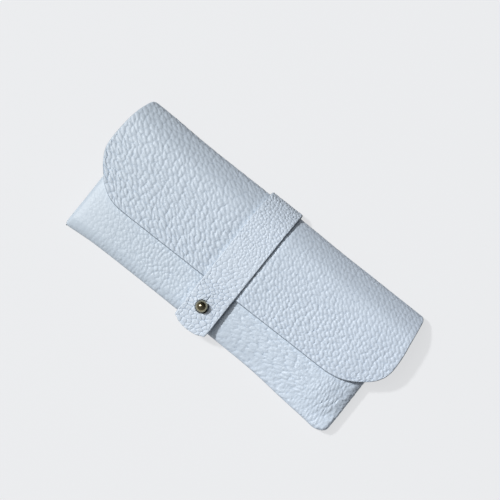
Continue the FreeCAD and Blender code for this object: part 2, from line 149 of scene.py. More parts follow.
class StageSettings(bpy.types.PropertyGroup):
    """Floor and lights"""

    floor_colour: colour("Floor colour", "Floor in the light", 0.868, 0.882, 0.906)
    bounce_colour: colour("Bounce colour", "Floor as it lights the case from below", 0.34, 0.35, 0.37)
    lit_colour: colour("Lit colour", "Floor as the camera sees it away from the case", 0.838, 0.847, 0.863)
    shadow_lift: amount("Shadow lift", "Share of the floor's shadow that the camera loses", 0.8, 1.0)
    sun_strength: amount("Sun", "Strength of the key light", 2.64)
    strip_power: amount("Strip", "Power of the long lamp, in watts", 2.5)
    sky_strength: amount("Sky", "Strength of the fill light", 0.115)


# ---------------------------------------------------------------- numbers


def smooth(value, start, end):
    """0 up to start, 1 from end, and 3t^2 - 2t^3 of the share t between them."""
    share = np.clip((value - start) / (end - start), 0, 1)
    return share * share * (3 - 2 * share)


def scatter(column, row, seed):
    """A number from 0 to 1 for each pair of whole numbers: the fraction left by a large multiple of a sine."""
    return (np.sin(column * 127.1 + row * 311.7 + seed * 74.7) * 43758.5453) % 1.0


def rolling(x, y, size, seed):
    """Smooth hills from 0 to 1: scattered values at the corners of squares, blended by smooth shares."""
    column, row = np.floor(x / size), np.floor(y / size)
    across, along = x / size - column, y / size - row
    across, along = across**2 * (3 - 2 * across), along**2 * (3 - 2 * along)
    near = scatter(column, row, seed) * (1 - across) + scatter(column + 1, row, seed) * across
    far = scatter(column, row + 1, seed) * (1 - across) + scatter(column + 1, row + 1, seed) * across
    return near * (1 - along) + far * along


# How a grain's cells lie: in loose disorder, in rows, or in rows of flatter cells; see cells()
LOOSE = (0.5, 0.84, 1.0)
ROWS = (0.5, 0.45, 0.62)
FLAT_ROWS = (0.5, 0.45, 0.75)
STRAY_ALONG = 0.84


def cells(x, y, seed, courses):
    """Of points scattered one to a brick: the nearest's distance, the next one's, and the nearest's number.

    Of the three numbers in courses, each course of bricks slips on by the first, a point strays across its course
    by up to half of the second, and distances along the course count by the third.
    """
    slip, stray, weight = courses
    column, row = np.floor(x), np.floor(y)
    first = np.full(x.shape, 9.0)
    second, number = first.copy(), np.zeros(x.shape)
    for down in (-1, 0, 1):
        for over in (-2, -1, 0, 1):
            i, j = column + over, row + down
            point_x = i + 0.5 + (slip * j) % 1.0 + STRAY_ALONG * (scatter(i, j, seed) - 0.5)
            point_y = j + 0.5 + stray * (scatter(i, j, seed + 3.3) - 0.5)
            distance = np.hypot(weight * (point_x - x), point_y - y)
            nearer = distance < first
            second = np.where(nearer, first, np.minimum(second, distance))
            number = np.where(nearer, scatter(i, j, seed + 7.7), number)
            first = np.where(nearer, distance, first)
    return first, second, number


def pushed(x, y, wide, seed):
    """How far a place is pushed about, so that outlines wander: small hills by a quarter of a cell, wide ones more."""
    small, large = rolling(x, y, 1.3 * wide, seed) - 0.5, rolling(x, y, 8 * wide, seed + 1) - 0.5
    return 0.25 * wide * small + 0.9 * wide * large


def pebbled(x, y, long, wide, lean, seed, crisp=6.0, courses=LOOSE):
    """Pebbled grain from 0 to 1, of cells long by wide and turned by lean.

    The height is 1 - e^(-crisp gap) from the creases between scattered cells, with a low dome on top.
    """
    px, py = x + pushed(x, y, wide, seed + 1), y + pushed(x, y, wide, seed + 4)
    along = px * np.cos(lean) + py * np.sin(lean)
    over = py * np.cos(lean) - px * np.sin(lean)
    first, second, number = cells(along / long, over / wide, seed, courses)
    dome = (1 - np.exp(-crisp * (second - first))) * (0.78 + 0.22 * number)
    return 0.74 * dome + 0.26 * (1 - np.clip(first / 0.8, 0, 1) ** 2)


def hide_grain(x, y, long, wide, lean, seed, crisp=6.0, fine=0.24, courses=LOOSE):
    """Two sizes of pebble, the small ones at a share fine of the whole, and hills that calm them in places."""
    large = pebbled(x, y, long, wide, lean, seed, crisp, courses)
    small = pebbled(x, y, 0.5 * long, 0.6 * wide, lean + 0.5, seed + 20, crisp)
    calm = 0.72 + 0.28 * rolling(x, y, 9 * wide, seed + 40)
    return ((1 - fine) * large + fine * small) * calm


# ---------------------------------------------------------------- lines and grids


def arc(centre, radius, start, end):
    """Points of a circle's arc from one angle to another, in degrees, about 0.05 mm apart."""
    count = max(8, int(abs(math.radians(end - start)) * radius / 0.05))
    turn = np.radians(np.linspace(start, end, count))
    return np.stack([centre[0] + radius * np.cos(turn), centre[1] + radius * np.sin(turn)], -1)


def joined(*lines):
    """Lines of points end to end, each point once."""
    points = np.concatenate(lines)
    keep = np.ones(len(points), bool)
    keep[1:] = np.hypot(*np.diff(points, axis=0).T) > 1e-6
    return points[keep]


def through(knots, step=0.4):
    """A curve through knots: between two knots a cubic whose slopes are half the step between their neighbours."""
    knots = np.array(knots, float)
    padded = np.concatenate([[2 * knots[0] - knots[1]], knots, [2 * knots[-1] - knots[-2]]])
    before, start, end, after = padded[:-3], padded[1:-2], padded[2:-1], padded[3:]
    t = np.linspace(0, 1, 33)[None, :-1, None]
    before, start, end, after = (k[:, None] for k in (before, start, end, after))
    curve = start + t * (end - before) / 2 + t**2 * (2 * before - 5 * start + 4 * end - after) / 2
    curve = curve + t**3 * (3 * (start - end) + after - before) / 2
    curve = np.concatenate([curve.reshape(-1, knots.shape[1]), knots[-1:]])
    run = run_of(curve)
    return at_shares(curve, np.linspace(0, 1, max(3, int(run[-1] / step))))


def run_of(points):
    """Length along a line of points, at each point."""
    return np.concatenate([[0], np.cumsum(np.linalg.norm(np.diff(points, axis=0), axis=1))])


def at_shares(points, shares):
    """Points of a line at shares of its length."""
    run = run_of(points)
    return np.stack([np.interp(shares * run[-1], run, column) for column in points.T], -1)


def rounded(corner, before, after, radius):
    """The arc that rounds a corner between straight lines from before and to after, in two halves of equal length."""
    corner, before, after = (np.array(p, float) for p in (corner, before, after))
    into = (before - corner) / np.linalg.norm(before - corner)
    out = (after - corner) / np.linalg.norm(after - corner)
    half = math.acos(float(into @ out)) / 2
    middle = corner + (into + out) / np.linalg.norm(into + out) * radius / math.sin(half)
    spread = math.pi / 2 - half
    aim = math.atan2(*(corner - middle)[::-1])
    side = 1 if np.cross(into, out) < 0 else -1
    turn = aim - side * np.linspace(-spread, spread, 25)
    points = np.stack([middle[0] + radius * np.cos(turn), middle[1] + radius * np.sin(turn)], -1)
    if np.linalg.norm(points[0] - before) > np.linalg.norm(points[-1] - before):
        points = points[::-1]
    return points[:13], points[12:]


def graded(total, step, first, last):
    """Shares of a length in steps of one size between runs of small steps at its ends, an odd number of them."""
    first, last = np.array(first, float), total - np.array(last, float)[::-1]
    count = max(2, int(round((last[0] - first[-1]) / step)) + 1)
    count += (len(first) + len(last) + count) % 2 == 0
    middle = np.linspace(first[-1], last[0], count)
    shares = np.concatenate([first[:-1], middle, last[1:]]) / total
    assert len(shares) % 2 == 1
    return shares


def quarter(radius, count):
    """Distances from an edge that step evenly round a quarter circle of that radius."""
    return radius * (1 - np.cos(np.linspace(0, math.pi / 2, count)))


def patch(left, right, bottom, top, across, along):
    """A Coons patch: the blend of left and right, plus the blend of bottom and top, less the blend of the corners."""
    u, v = across[None, :, None], along[:, None, None]
    low, high = at_shares(bottom, across)[None], at_shares(top, across)[None]
    start, end = at_shares(left, along)[:, None], at_shares(right, along)[:, None]
    corners = (1 - v) * ((1 - u) * low[:, :1] + u * low[:, -1:]) + v * ((1 - u) * high[:, :1] + u * high[:, -1:])
    return (1 - u) * start + u * end + (1 - v) * low + v * high - corners


class Section:
    """A line in the case's cross-section, followed by its length; the normal lies to the left or right of its way."""

    def __init__(self, points, side):
        self.points = points
        self.run = run_of(points)
        way = np.gradient(points, self.run, axis=0)
        way = way / np.linalg.norm(way, axis=1, keepdims=True)
        self.normals = side * np.stack([-way[:, 1], way[:, 0]], -1)

    def at(self, run):
        """Place (y, z) and normal (y, z) at each length along the line."""
        place = [np.interp(run, self.run, column) for column in self.points.T]
        normal = [np.interp(run, self.run, column) for column in self.normals.T]
        return place, normal

    def run_at(self, y):
        """The length at which the line passes each y, for a line whose y always falls."""
        return np.interp(-y, -self.points[:, 0], self.run)


def normals_of(points):
    """Unit normals of a grid of points: the cross product of its two slopes."""
    across, along = np.gradient(points, axis=1), np.gradient(points, axis=0)
    normal = np.cross(across, along)
    return normal / np.maximum(np.linalg.norm(normal, axis=-1, keepdims=True), 1e-9)


def level_at_fold(normal, normal_y, normal_z, run):
    """Normals that turn into the section's own over the last 2 mm to mid-fold, so that two sheets meet flush there."""
    share = smooth(run, 0.0, 2.0)[..., None]
    return normal * share + np.stack([0 * run, normal_y, normal_z], -1) * (1 - share)


# ---------------------------------------------------------------- meshes


class Skin:
    """Grids of points gathered into one closed mesh, with the place on the flat hide and the swell of every point."""

    def __init__(self):
        self.points, self.places, self.swells, self.faces, self.slots = [], [], [], [], []
        self.seams, self.seam_slots = [], []
        self.count = 0

    def add(self, points, place, swell, slot, wrap=False):
        """Adds a grid of quads; with wrap, its last column joins its first."""
        rows, columns = points.shape[:2]
        index = np.arange(rows * columns).reshape(rows, columns) + self.count
        if wrap:
            index = np.concatenate([index, index[:, :1]], axis=1)
        quads = np.stack([index[:-1, :-1], index[:-1, 1:], index[1:, 1:], index[1:, :-1]], -1).reshape(-1, 4)
        self.points.append(points.reshape(-1, 3))
        self.places.append(place.reshape(-1, 2))
        self.swells.append(np.broadcast_to(swell, (rows, columns)).reshape(-1))
        self.faces.append(quads)
        self.slots.append(np.full(len(quads), slot))
        self.count += rows * columns

    def seam(self, fine, coarse, place, slot):
        """Joins a closed line to one that has every second of its points, by five-sided faces."""
        for points in (fine, coarse):
            places = place if len(points) == len(place) else place[::2]
            self.points.append(points)
            self.places.append(places)
            self.swells.append(np.full(len(points), 0.6))
        first = self.count + np.arange(0, len(fine), 2)
        after = self.count + (np.arange(0, len(fine), 2) + 2) % len(fine)
        low = self.count + len(fine) + np.arange(len(coarse))
        self.seams.append(np.stack([first, first + 1, after, np.roll(low, -1), low], -1))
        self.seam_slots.append(np.full(len(coarse), slot))
        self.count += len(fine) + len(coarse)

    def object(self, name, materials):
        """The finished object: doubles within 0.1 micrometre become one point, and faces point outwards."""
        points = np.concatenate(self.points)
        faces = np.concatenate(self.faces)
        slots = np.concatenate(self.slots)
        _, first, owner = np.unique(np.round(points, 4), axis=0, return_index=True, return_inverse=True)
        owner = owner.reshape(-1)
        faces = owner[faces]
        flat = (faces[:, 0] == faces[:, 1]).astype(int) + (faces[:, 1] == faces[:, 2])
        flat += (faces[:, 2] == faces[:, 3]).astype(int) + (faces[:, 3] == faces[:, 0])
        keep = flat == 0
        mesh = bpy.data.meshes.new(name)
        quads = faces[keep]
        thin = faces[flat == 1]
        triangles = [list(dict.fromkeys(face)) for face in thin.tolist()]
        fives = owner[np.concatenate(self.seams)] if self.seams else np.zeros((0, 5), int)
        slots = np.concatenate([slots[keep], slots[flat == 1]] + self.seam_slots)
        mesh.from_pydata((points[first] * MM).tolist(), [], quads.tolist() + triangles + fives.tolist())
        mesh.polygons.foreach_set("material_index", slots.astype(np.int32))
        mesh.polygons.foreach_set("use_smooth", np.ones(len(mesh.polygons), bool))
        place = mesh.attributes.new("hide_place", "FLOAT_VECTOR", "POINT")
        flat_place = np.concatenate(self.places)[first] * MM
        place.data.foreach_set("vector", np.column_stack([flat_place, np.zeros(len(first))]).ravel().astype(np.float32))
        swell = mesh.attributes.new("swell", "FLOAT", "POINT")
        swell.data.foreach_set("value", np.concatenate(self.swells)[first].astype(np.float32))
        outward = bmesh.new()
        outward.from_mesh(mesh)
        bmesh.ops.recalc_face_normals(outward, faces=outward.faces)
        outward.to_mesh(mesh)
        outward.free()
        for material in materials:
            mesh.materials.append(material)
        mesh.update()
        # Where two pieces of one hide meet, the border turns square and keeps its face's own shading
        mesh.set_sharp_from_angle(angle=math.radians(70.0))
        return placed(name, mesh)


def placed(name, data):
    """A new object in the scene, at the origin."""
    made = bpy.data.objects.new(name, data)
    bpy.context.scene.collection.objects.link(made)
    return made


def border(grid):
    """The border of a grid as one closed line, without its start again at its end."""
    return np.concatenate([grid[0, :-1], grid[:-1, -1], grid[-1, :0:-1], grid[:0:-1, 0]])


def rim(skin, outer, inner, place, bulge, slot, halve=False):
    """A cut edge between two closed lines: it stands out by bulge (1 - (2t - 1)^6) at the share t of the thickness.

    With halve, the mesh beyond the inner line has only every second of its points.
    """
    way = np.roll(outer, -1, axis=0) - np.roll(outer, 1, axis=0)
    out = np.cross(way, outer - inner)
    out = out / np.maximum(np.linalg.norm(out, axis=1, keepdims=True), 1e-9)
    area = np.sum(outer[:, 0] * np.roll(outer[:, 1], -1) - outer[:, 1] * np.roll(outer[:, 0], -1))
    upward = np.sum((outer - inner)[:, 2])
    out = out * (1 if area * upward > 0 else -1)
    share = np.array([0.0, 0.06, 0.2, 0.5, 0.8, 0.94, 1.0])[:, None, None]
    stand = (1 - (2 * share - 1) ** 6) * (bulge[None, :, None] + 1e-3)
    points = outer[None] * (1 - share) + inner[None] * share + out[None] * stand
    points[0], points[-1] = outer, inner
    rows = len(share) - 1 if halve else len(share)
    skin.add(points[:rows], np.broadcast_to(place, (rows,) + place.shape), 0.6, slot, wrap=True)
    if halve:
        skin.seam(points[-2], inner[::2], place, slot)


# Material slots of every sheet
GRAIN, FLESH, CUT = 0, 1, 2


def closed_sheet(name, materials, outer, inner, place, swell, bulge):
    """A finished sheet: its grain side, its flesh side with half the points each way, and the cut edge between."""
    skin = Skin()
    skin.add(outer, place, swell, GRAIN)
    skin.add(inner[::2, ::2], place[::2, ::2], 0.5, FLESH)
    rim(skin, border(outer), border(inner), border(place), border(bulge), CUT, halve=True)
    return skin.object(name, materials)


# ---------------------------------------------------------------- materials


class Value:
    """A node's output; for one that carries a number, arithmetic adds Math nodes."""

    def __init__(self, shader, socket):
        self.shader, self.socket = shader, socket

    def _math(self, operation, first, second):
        return self.shader.node("ShaderNodeMath", {0: first, 1: second}, operation=operation)

    def __add__(self, other):
        return self._math("ADD", self, other)

    def __sub__(self, other):
        return self._math("SUBTRACT", self, other)

    def __mul__(self, other):
        return self._math("MULTIPLY", self, other)

    def __rsub__(self, other):
        return self._math("SUBTRACT", other, self)

    __radd__ = __add__
    __rmul__ = __mul__


class Shader:
    """A material or world being built, node by node."""

    def __init__(self, name, block=None):
        self.material = block or bpy.data.materials.new(name)
        self.material.use_nodes = True
        self.tree = self.material.node_tree
        self.tree.nodes.clear()

    def node(self, kind, inputs=None, output=0, stops=(), **settings):
        """Adds a node and gives one of its outputs as a Value.

        Its settings and a ramp's stops come first; then numbers are set in its sockets and Values are linked.
        """
        made = self.tree.nodes.new(kind)
        for key, value in settings.items():
            setattr(made, key, value)
        for number, (place, tone) in enumerate(stops):
            ramp = made.color_ramp.elements
            stop = ramp[number] if number < 2 else ramp.new(place)
            stop.position, stop.color = place, (*tone, 1.0)
        for key, value in (inputs or {}).items():
            if isinstance(value, Value):
                self.tree.links.new(value.socket, made.inputs[key])
            else:
                made.inputs[key].default_value = value
        return Value(self, made.outputs[output]) if made.outputs else None

    def here(self):
        """The place in the object, in metres."""
        return self.node("ShaderNodeTexCoord", output="Object")

    def attribute(self, name, output):
        """An attribute of the mesh."""
        return self.node("ShaderNodeAttribute", output=output, attribute_name=name)

    def mix(self, factor, first, second, mode="MIX"):
        """Two colours mixed, the second over the first."""
        inputs = {"Factor": factor, 6: opaque(first), 7: opaque(second)}
        return self.node("ShaderNodeMix", inputs, output=2, data_type="RGBA", blend_type=mode)

    def noise(self, place, scale, detail=3.0, roughness=0.5):
        """Cloudy noise from 0 to 1, at so many hills a metre."""
        inputs = {"Vector": place, "Scale": scale, "Detail": detail, "Roughness": roughness}
        return self.node("ShaderNodeTexNoise", inputs, output="Fac")

    def bump(self, height, distance, strength):
        """A normal tilted by a height that is given in units of distance."""
        return self.node("ShaderNodeBump", {"Height": height, "Distance": distance, "Strength": strength})

    def finish(self, inputs):
        """The material, with its surface made from a Principled shader's inputs."""
        self.node("ShaderNodeOutputMaterial", {"Surface": self.node("ShaderNodeBsdfPrincipled", inputs)})
        return self.material


def opaque(tone):
    """A colour with full alpha, or a Value as it is."""
    return tone if isinstance(tone, Value) else (*tone, 1.0)


def scaled(tone, factor):
    """A colour made lighter or darker."""
    return tuple(min(1.0, channel * factor) for channel in tone)


# How the colour grows paler from the left end to the right, and the painted shade that darkens a crease and lightens a
# pebble's top a little, by the swell
LEFT_END_TONE = (0.955, 0.940, 0.955)
RIGHT_END_TONE = (1.075, 1.055, 1.100)
CREASE_SHADE = ((0.0, (0.22, 0.24, 0.28)), (0.2, (0.46, 0.51, 0.57)), (0.5, (0.94, 0.95, 0.96)), (1.0, (1.03, 1.03, 1.025)))


def leather(name, tone, pale=1.0):
    """Grained leather: painted shade darkens its creases and lightens its pebble tops a little, a cloudy tone grows
    paler to the right, with pores and a wax sheen.
    """
    shader = Shader(name)
    place = shader.attribute("hide_place", "Vector")
    swell = shader.attribute("swell", "Fac")
    cloud = shader.noise(place, 38.0)
    fine = shader.noise(place, 900.0, 4.0, 0.6)
    across = shader.node("ShaderNodeSeparateXYZ", {"Vector": place}) * 5.0 + 0.5
    # The colour grows paler from the left end to the right, by x, with random cloudy tone on top
    left = tuple(share * channel for share, channel in zip(LEFT_END_TONE, tone))
    right = tuple(share * pale * channel for share, channel in zip(RIGHT_END_TONE, tone))
    paling_tone = shader.mix(across + 0.12 * (cloud - 0.5), left, right)
    # Painted shade: the colour darkens in the grain's creases and lightens a little on the pebbles' tops, by the swell
    crease = shader.node("ShaderNodeValToRGB", {"Fac": swell}, output="Color", stops=CREASE_SHADE)
    base = shader.mix(1.0, paling_tone, crease, "MULTIPLY")
    pores = shader.node("ShaderNodeTexVoronoi", {"Vector": place, "Scale": 1500.0}, feature="F1")
    normal = shader.bump(fine * 0.6 + pores * 0.7, 0.00009, 0.9)
    rough = 0.50 + 0.12 * fine - 0.10 * swell
    return shader.finish({"Base Color": base, "Roughness": rough, "Normal": normal, "Specular IOR Level": 0.45})


def suede(name, tone):
    """The flesh side: short nap with soft mottling."""
    shader = Shader(name)
    place = shader.attribute("hide_place", "Vector")
    nap = shader.noise(place, 1400.0, 5.0, 0.7)
    cloud = shader.noise(place, 110.0, 4.0)
    base = shader.mix(nap * 0.5 + cloud * 0.5, scaled(tone, 0.82), scaled(tone, 1.14))
    normal = shader.bump(nap, 0.00018, 0.9)
    return shader.finish({"Base Color": base, "Roughness": 0.95, "Normal": normal, "Specular IOR Level": 0.15,
                          "Sheen Weight": 0.25, "Sheen Roughness": 0.5})


def cut_edge(name, tone):
    """The raw cut edge: layered fibres, a little duller than the grain."""
    shader = Shader(name)
    place = shader.here()
    fibre = shader.noise(place, 2600.0, 4.0, 0.65)
    cloud = shader.noise(place, 240.0)
    base = shader.mix(fibre * 0.6 + cloud * 0.4, scaled(tone, 0.80), scaled(tone, 1.16))
    normal = shader.bump(fibre, 0.00012, 0.7)
    return shader.finish({"Base Color": base, "Roughness": 0.86, "Normal": normal, "Specular IOR Level": 0.25})


def aged_brass(name, tone):
    """Brass with a dull, slightly mottled patina and fine handling marks."""
    shader = Shader(name)
    place = shader.here()
    patina = shader.noise(place, 420.0, 4.0, 0.6)
    marks = shader.noise(place, 3200.0, 3.0, 0.7)
    base = shader.mix(patina, scaled(tone, 0.72), scaled(tone, 1.2))
    rough = 0.10 + 0.14 * patina + 0.06 * marks
    normal = shader.bump(marks, 0.00002, 0.5)
    return shader.finish({"Base Color": base, "Roughness": rough, "Metallic": 1.0, "Normal": normal})


def waxed_thread(name, tone):
    """Waxed linen thread: twisted strands a third of a millimetre apart."""
    shader = Shader(name)
    place = shader.here()
    turned = shader.node("ShaderNodeMapping", {"Vector": place, "Rotation": (0.0, 0.6, 0.8)})
    strand = shader.node("ShaderNodeTexWave", {"Vector": turned, "Scale": 900.0, "Distortion": 0.6}, "Fac",
                         wave_type="BANDS")
    fuzz = shader.noise(place, 5200.0, 3.0, 0.7)
    base = shader.mix(strand * 0.6 + fuzz * 0.4, scaled(tone, 0.72), scaled(tone, 1.1))
    normal = shader.bump(strand * 0.7 + fuzz * 0.3, 0.00008, 0.8)
    return shader.finish({"Base Color": base, "Roughness": 0.62, "Normal": normal, "Sheen Weight": 0.15})


def settings():
    """The leather's, the stud's and the stage's settings."""
    scene = bpy.context.scene
    return scene.case_leather, scene.case_stud, scene.case_stage


def material(name, maker, tone, *more):
    """The named material, made the first time that it is asked for."""
    return bpy.data.materials.get(name) or maker(name, tuple(tone), *more)


def hide_materials(grain_name, tone, pale=1.0):
    """Grain, flesh and cut edge for one sheet; pale is how much paler its right end is."""
    look = settings()[0]
    return [
        material(grain_name, leather, tone, pale),
        material("flesh_side", suede, look.flesh_colour),
        material("cut_edge", cut_edge, look.cut_colour),
    ]


# ---------------------------------------------------------------- the case's section


# Degrees up from mid-fold round its upper half: the roll passes into the flatter brow
ROLL_ANGLE = 52.0
# The fold's bend ends and the strap's own begins
HELD_ANGLE = 50.0
# The strap's bend ends
LIFT_ANGLE = 75.0
# Round mid-fold the sheets keep their shape as the flap opens, for so many degrees to each side
FIRM_FOLD = 35.0
FIRM_ROLL = 6.0
# Over so many millimetres the back rises from the table to the fold
RISE_REACH = 24.0
# Below this y the front and the strap fall away, in circles of these radii; the front's lip under the roll is tighter
SHOULDER_Y = -16.0
SHOULDER_RADIUS = 191.0
STRAP_DROOP = 170.0
LIP_RADIUS = 16.5


def on_circle(centre, radius, angle):
    """The point of a circle at an angle in degrees."""
    turn = math.radians(angle)
    return centre[0] + radius * math.cos(turn), centre[1] + radius * math.sin(turn)


class Layout:
    """Places in the cross-section that the hides share, in millimetres."""

    def __init__(self):
        look = settings()[0]
        self.hide, self.gap = look.hide / MM, look.layer_gap / MM
        self.step = look.spacing / MM
        self.layer = self.hide + self.gap
        self.fold_in = look.fold_radius / MM
        self.fold_out = self.fold_in + self.hide
        self.strap_out = self.fold_out + self.layer
        self.roll_in, self.brow_in = look.roll_radius / MM, look.brow_radius / MM
        self.fold = (FOLD_END_Y - self.strap_out, self.strap_out)
        self.roll = (self.fold[0] + self.fold_in - self.roll_in, self.fold[1])
        self.brow = on_circle(self.roll, self.roll_in - self.brow_in, ROLL_ANGLE)
        self.crown_radius = look.crown_radius / MM
        self.top = self.brow[1] + self.brow_in - self.gap
        self.crown = (self.brow[0], self.top - self.crown_radius)
        self.rise = self.fold[1] - self.fold_out
        self.rise_start = self.fold[0] - RISE_REACH

    def upper(self, lift, end_y):
        """Section of a layer's outside, so far over the hide, from mid-fold round the roll and down to end_y."""
        lift = lift + self.hide
        outside = self.crown_radius + self.gap + lift
        end = math.degrees(math.acos((end_y - self.crown[0]) / outside))
        roll = arc(self.roll, self.roll_in + lift, 0, ROLL_ANGLE)
        return joined(roll, arc(self.brow, self.brow_in + lift, ROLL_ANGLE, 90), arc(self.crown, outside, 90, end))

    def on_roll(self, lift, angle):
        """A point of the roll in the middle of the leather's thickness."""
        return on_circle(self.roll, self.roll_in + self.hide / 2 + lift, angle)

    def on_fold(self, lift, angle):
        """A point of the tight lower half of the fold in the middle of the leather's thickness."""
        return on_circle(self.fold, self.fold_in + self.hide / 2 + lift, angle)

    def back_height(self, y):
        """Height of the back's outside over the table: half a cosine wave up to the fold."""
        share = np.clip((y - self.rise_start) / (self.fold[0] - self.rise_start), 0, 1)
        return self.rise * (1 - np.cos(math.pi * share)) / 2

    def lower(self, end_y):
        """Section of the back's outside from the outside of the fold to the table and along it to end_y."""
        y = np.linspace(self.fold[0], end_y, 1500)
        return joined(arc(self.fold, self.fold_out, 0, -90), np.stack([y, self.back_height(y)], -1))


def pressed(x, y):
    """How far the strap presses the layers under it down: 0.6 mm, fading past its edges, its fold and its tab."""
    across = 1 - smooth(np.abs(x - STRAP_X), STRAP_HALF - 1.0, STRAP_HALF + np.where(x < STRAP_X, 9.0, 3.5))
    return 0.6 * across * smooth(y, -21.0, -14.0) * (1 - smooth(y, 24.0, 36.0))


def slumped(x, y, run=9.0):
    """How far the roll of the fold has slumped, more to the right: smooth shares of y from 26 to 39 and of the run."""
    return (1.1 + 0.9 * smooth(x, 5.0, 50.0)) * smooth(y, 26.0, 39.0) * smooth(run, 0.0, 3.2)


def skewed(x, y):
    """How far the fold lies off its straight line toward its left end: smooth shares of x, by a smooth share of y."""
    wander = 0.5 - 0.75 * smooth(x, 0.0, 45.0) + 1.0 * smooth(-x, 48.0, 84.0)
    return wander * smooth(y, 18.0, 38.0)


def hide_half(y, layout, side):
    """Half the hide's length past the mouth, at each y: straight ends with a rounded fold."""
    radius = 3.0
    into = np.clip(y - (layout.fold[0] + layout.fold_out - radius), 0, radius)
    return side * (FOLD_HALF - (radius - np.sqrt(radius**2 - into**2)))


def bend(piece, start, end):
    """Bakes the sheet's placing into its mesh. Its start and end, points of the section in millimetres, are not used.
    """
    start[0] * MM
    start[1] * MM
    end[0] * MM
    end[1] * MM
    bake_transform(piece)


# ---------------------------------------------------------------- front


def front_height(y, layout):
    """Height of the front's outside: the crown's circle, the lip's above it and less the shoulder's circle below."""
    crown = layout.crown[1] + np.sqrt(layout.crown_radius**2 - (y - layout.crown[0]) ** 2)
    lip = layout.top - LIP_RADIUS + np.sqrt(LIP_RADIUS**2 - np.clip(y - layout.crown[0], 0, 14) ** 2)
    fall = np.clip(SHOULDER_Y - y, 0, 60)
    return np.where(y > layout.crown[0], lip, crown) - SHOULDER_RADIUS + np.sqrt(SHOULDER_RADIUS**2 - fall**2)


def creased(height):
    """The painted shade of the grain's creases, for the colour ramp: 0, darkest, at the bottom of a crease, 1 well up
    on a pebble.
    """
    return np.clip(0.2 + (height - 0.10) / 0.5, 0.2, 1)


def edge_round(distance, radius):
    """Height of a quarter circle over its edge, as a share: the root of 1 - (1 - d/r)^2."""
    return np.sqrt(np.clip(1 - (1 - np.clip(distance / radius, 0, 1)) ** 2, 0, 1))


# The lower edge between its corners: x, and how far it lies over the pouch's bottom
LOWER_WAVE = ((-55, 1.0), (-30, 1.1), (-5, 1.0), (15, 0.9), (32, 0.7), (44, 0.1), (54, -0.75), (64, -1.45), (73, -2.0))


def pouch_corners():
    """The pouch's sides and lower edge: a small ear at the lower left corner and a full round one at the right."""
    (left, bottom), (right, mouth) = FRONT_LOW[:2], FRONT_HIGH[:2]
    ear = [(left + 1.2, bottom - 0.6), (left + 0.4, bottom + 0.35), (left + 0.1, bottom + 3.5)]
    foot = [(right - 2.0, bottom - 1.0), (right - 0.55, bottom + 1.0), (right - 0.05, bottom + 4.0)]
    left_side = through(ear + [(left + 0.15, -20.0), (left - 0.1, 0.0), (left, mouth)])
    right_side = through(foot + [(right + 0.05, -20.0), (right, 0.0), (right, mouth)])
    start = [ear[0], (left + 4.5, bottom - 0.3), (left + 10, bottom + 0.2), (left + 17, bottom + 0.7)]
    wave = [(x, bottom + over) for x, over in LOWER_WAVE]
    return left_side, right_side, through(start + wave + [(right - 6.5, bottom - 2.5), foot[0]])


def drawn_in(base, normal, share=1.0):
    """The blind seam draws a sheet's steep parts in sideways, by 0.45 e^-((z - seam's height) / 0.55)^2."""
    groove = 0.45 * np.exp(-(((base[..., 2] - SEAM_HEIGHT) / 0.55) ** 2)) * (1 - np.abs(normal[..., 2])) * share
    return base - normal * groove[..., None] * np.array([1.0, 1.0, 0.0])


# Grains, as hide_grain() takes them: a pebble's length and width, its lean, the draw; crispness, fine share, courses
CALM_PEBBLES = (3.1, 1.9, -0.75, 11)
FLOWING_PEBBLES = (5.2, 1.7, 0.25, 12)
CROSSING_PEBBLES = (4.8, 1.5, 1.75, 31)
BACK_PEBBLES = (4.6, 2.7, 0.87, 51)
FLAP_LONG_PEBBLES = (4.5, 2.2, -0.58, 71, 8.0, 0.12, ROWS)
FLAP_SMALL_PEBBLES = (3.5, 1.95, -0.62, 72, 7.5, 0.10, FLAT_ROWS)


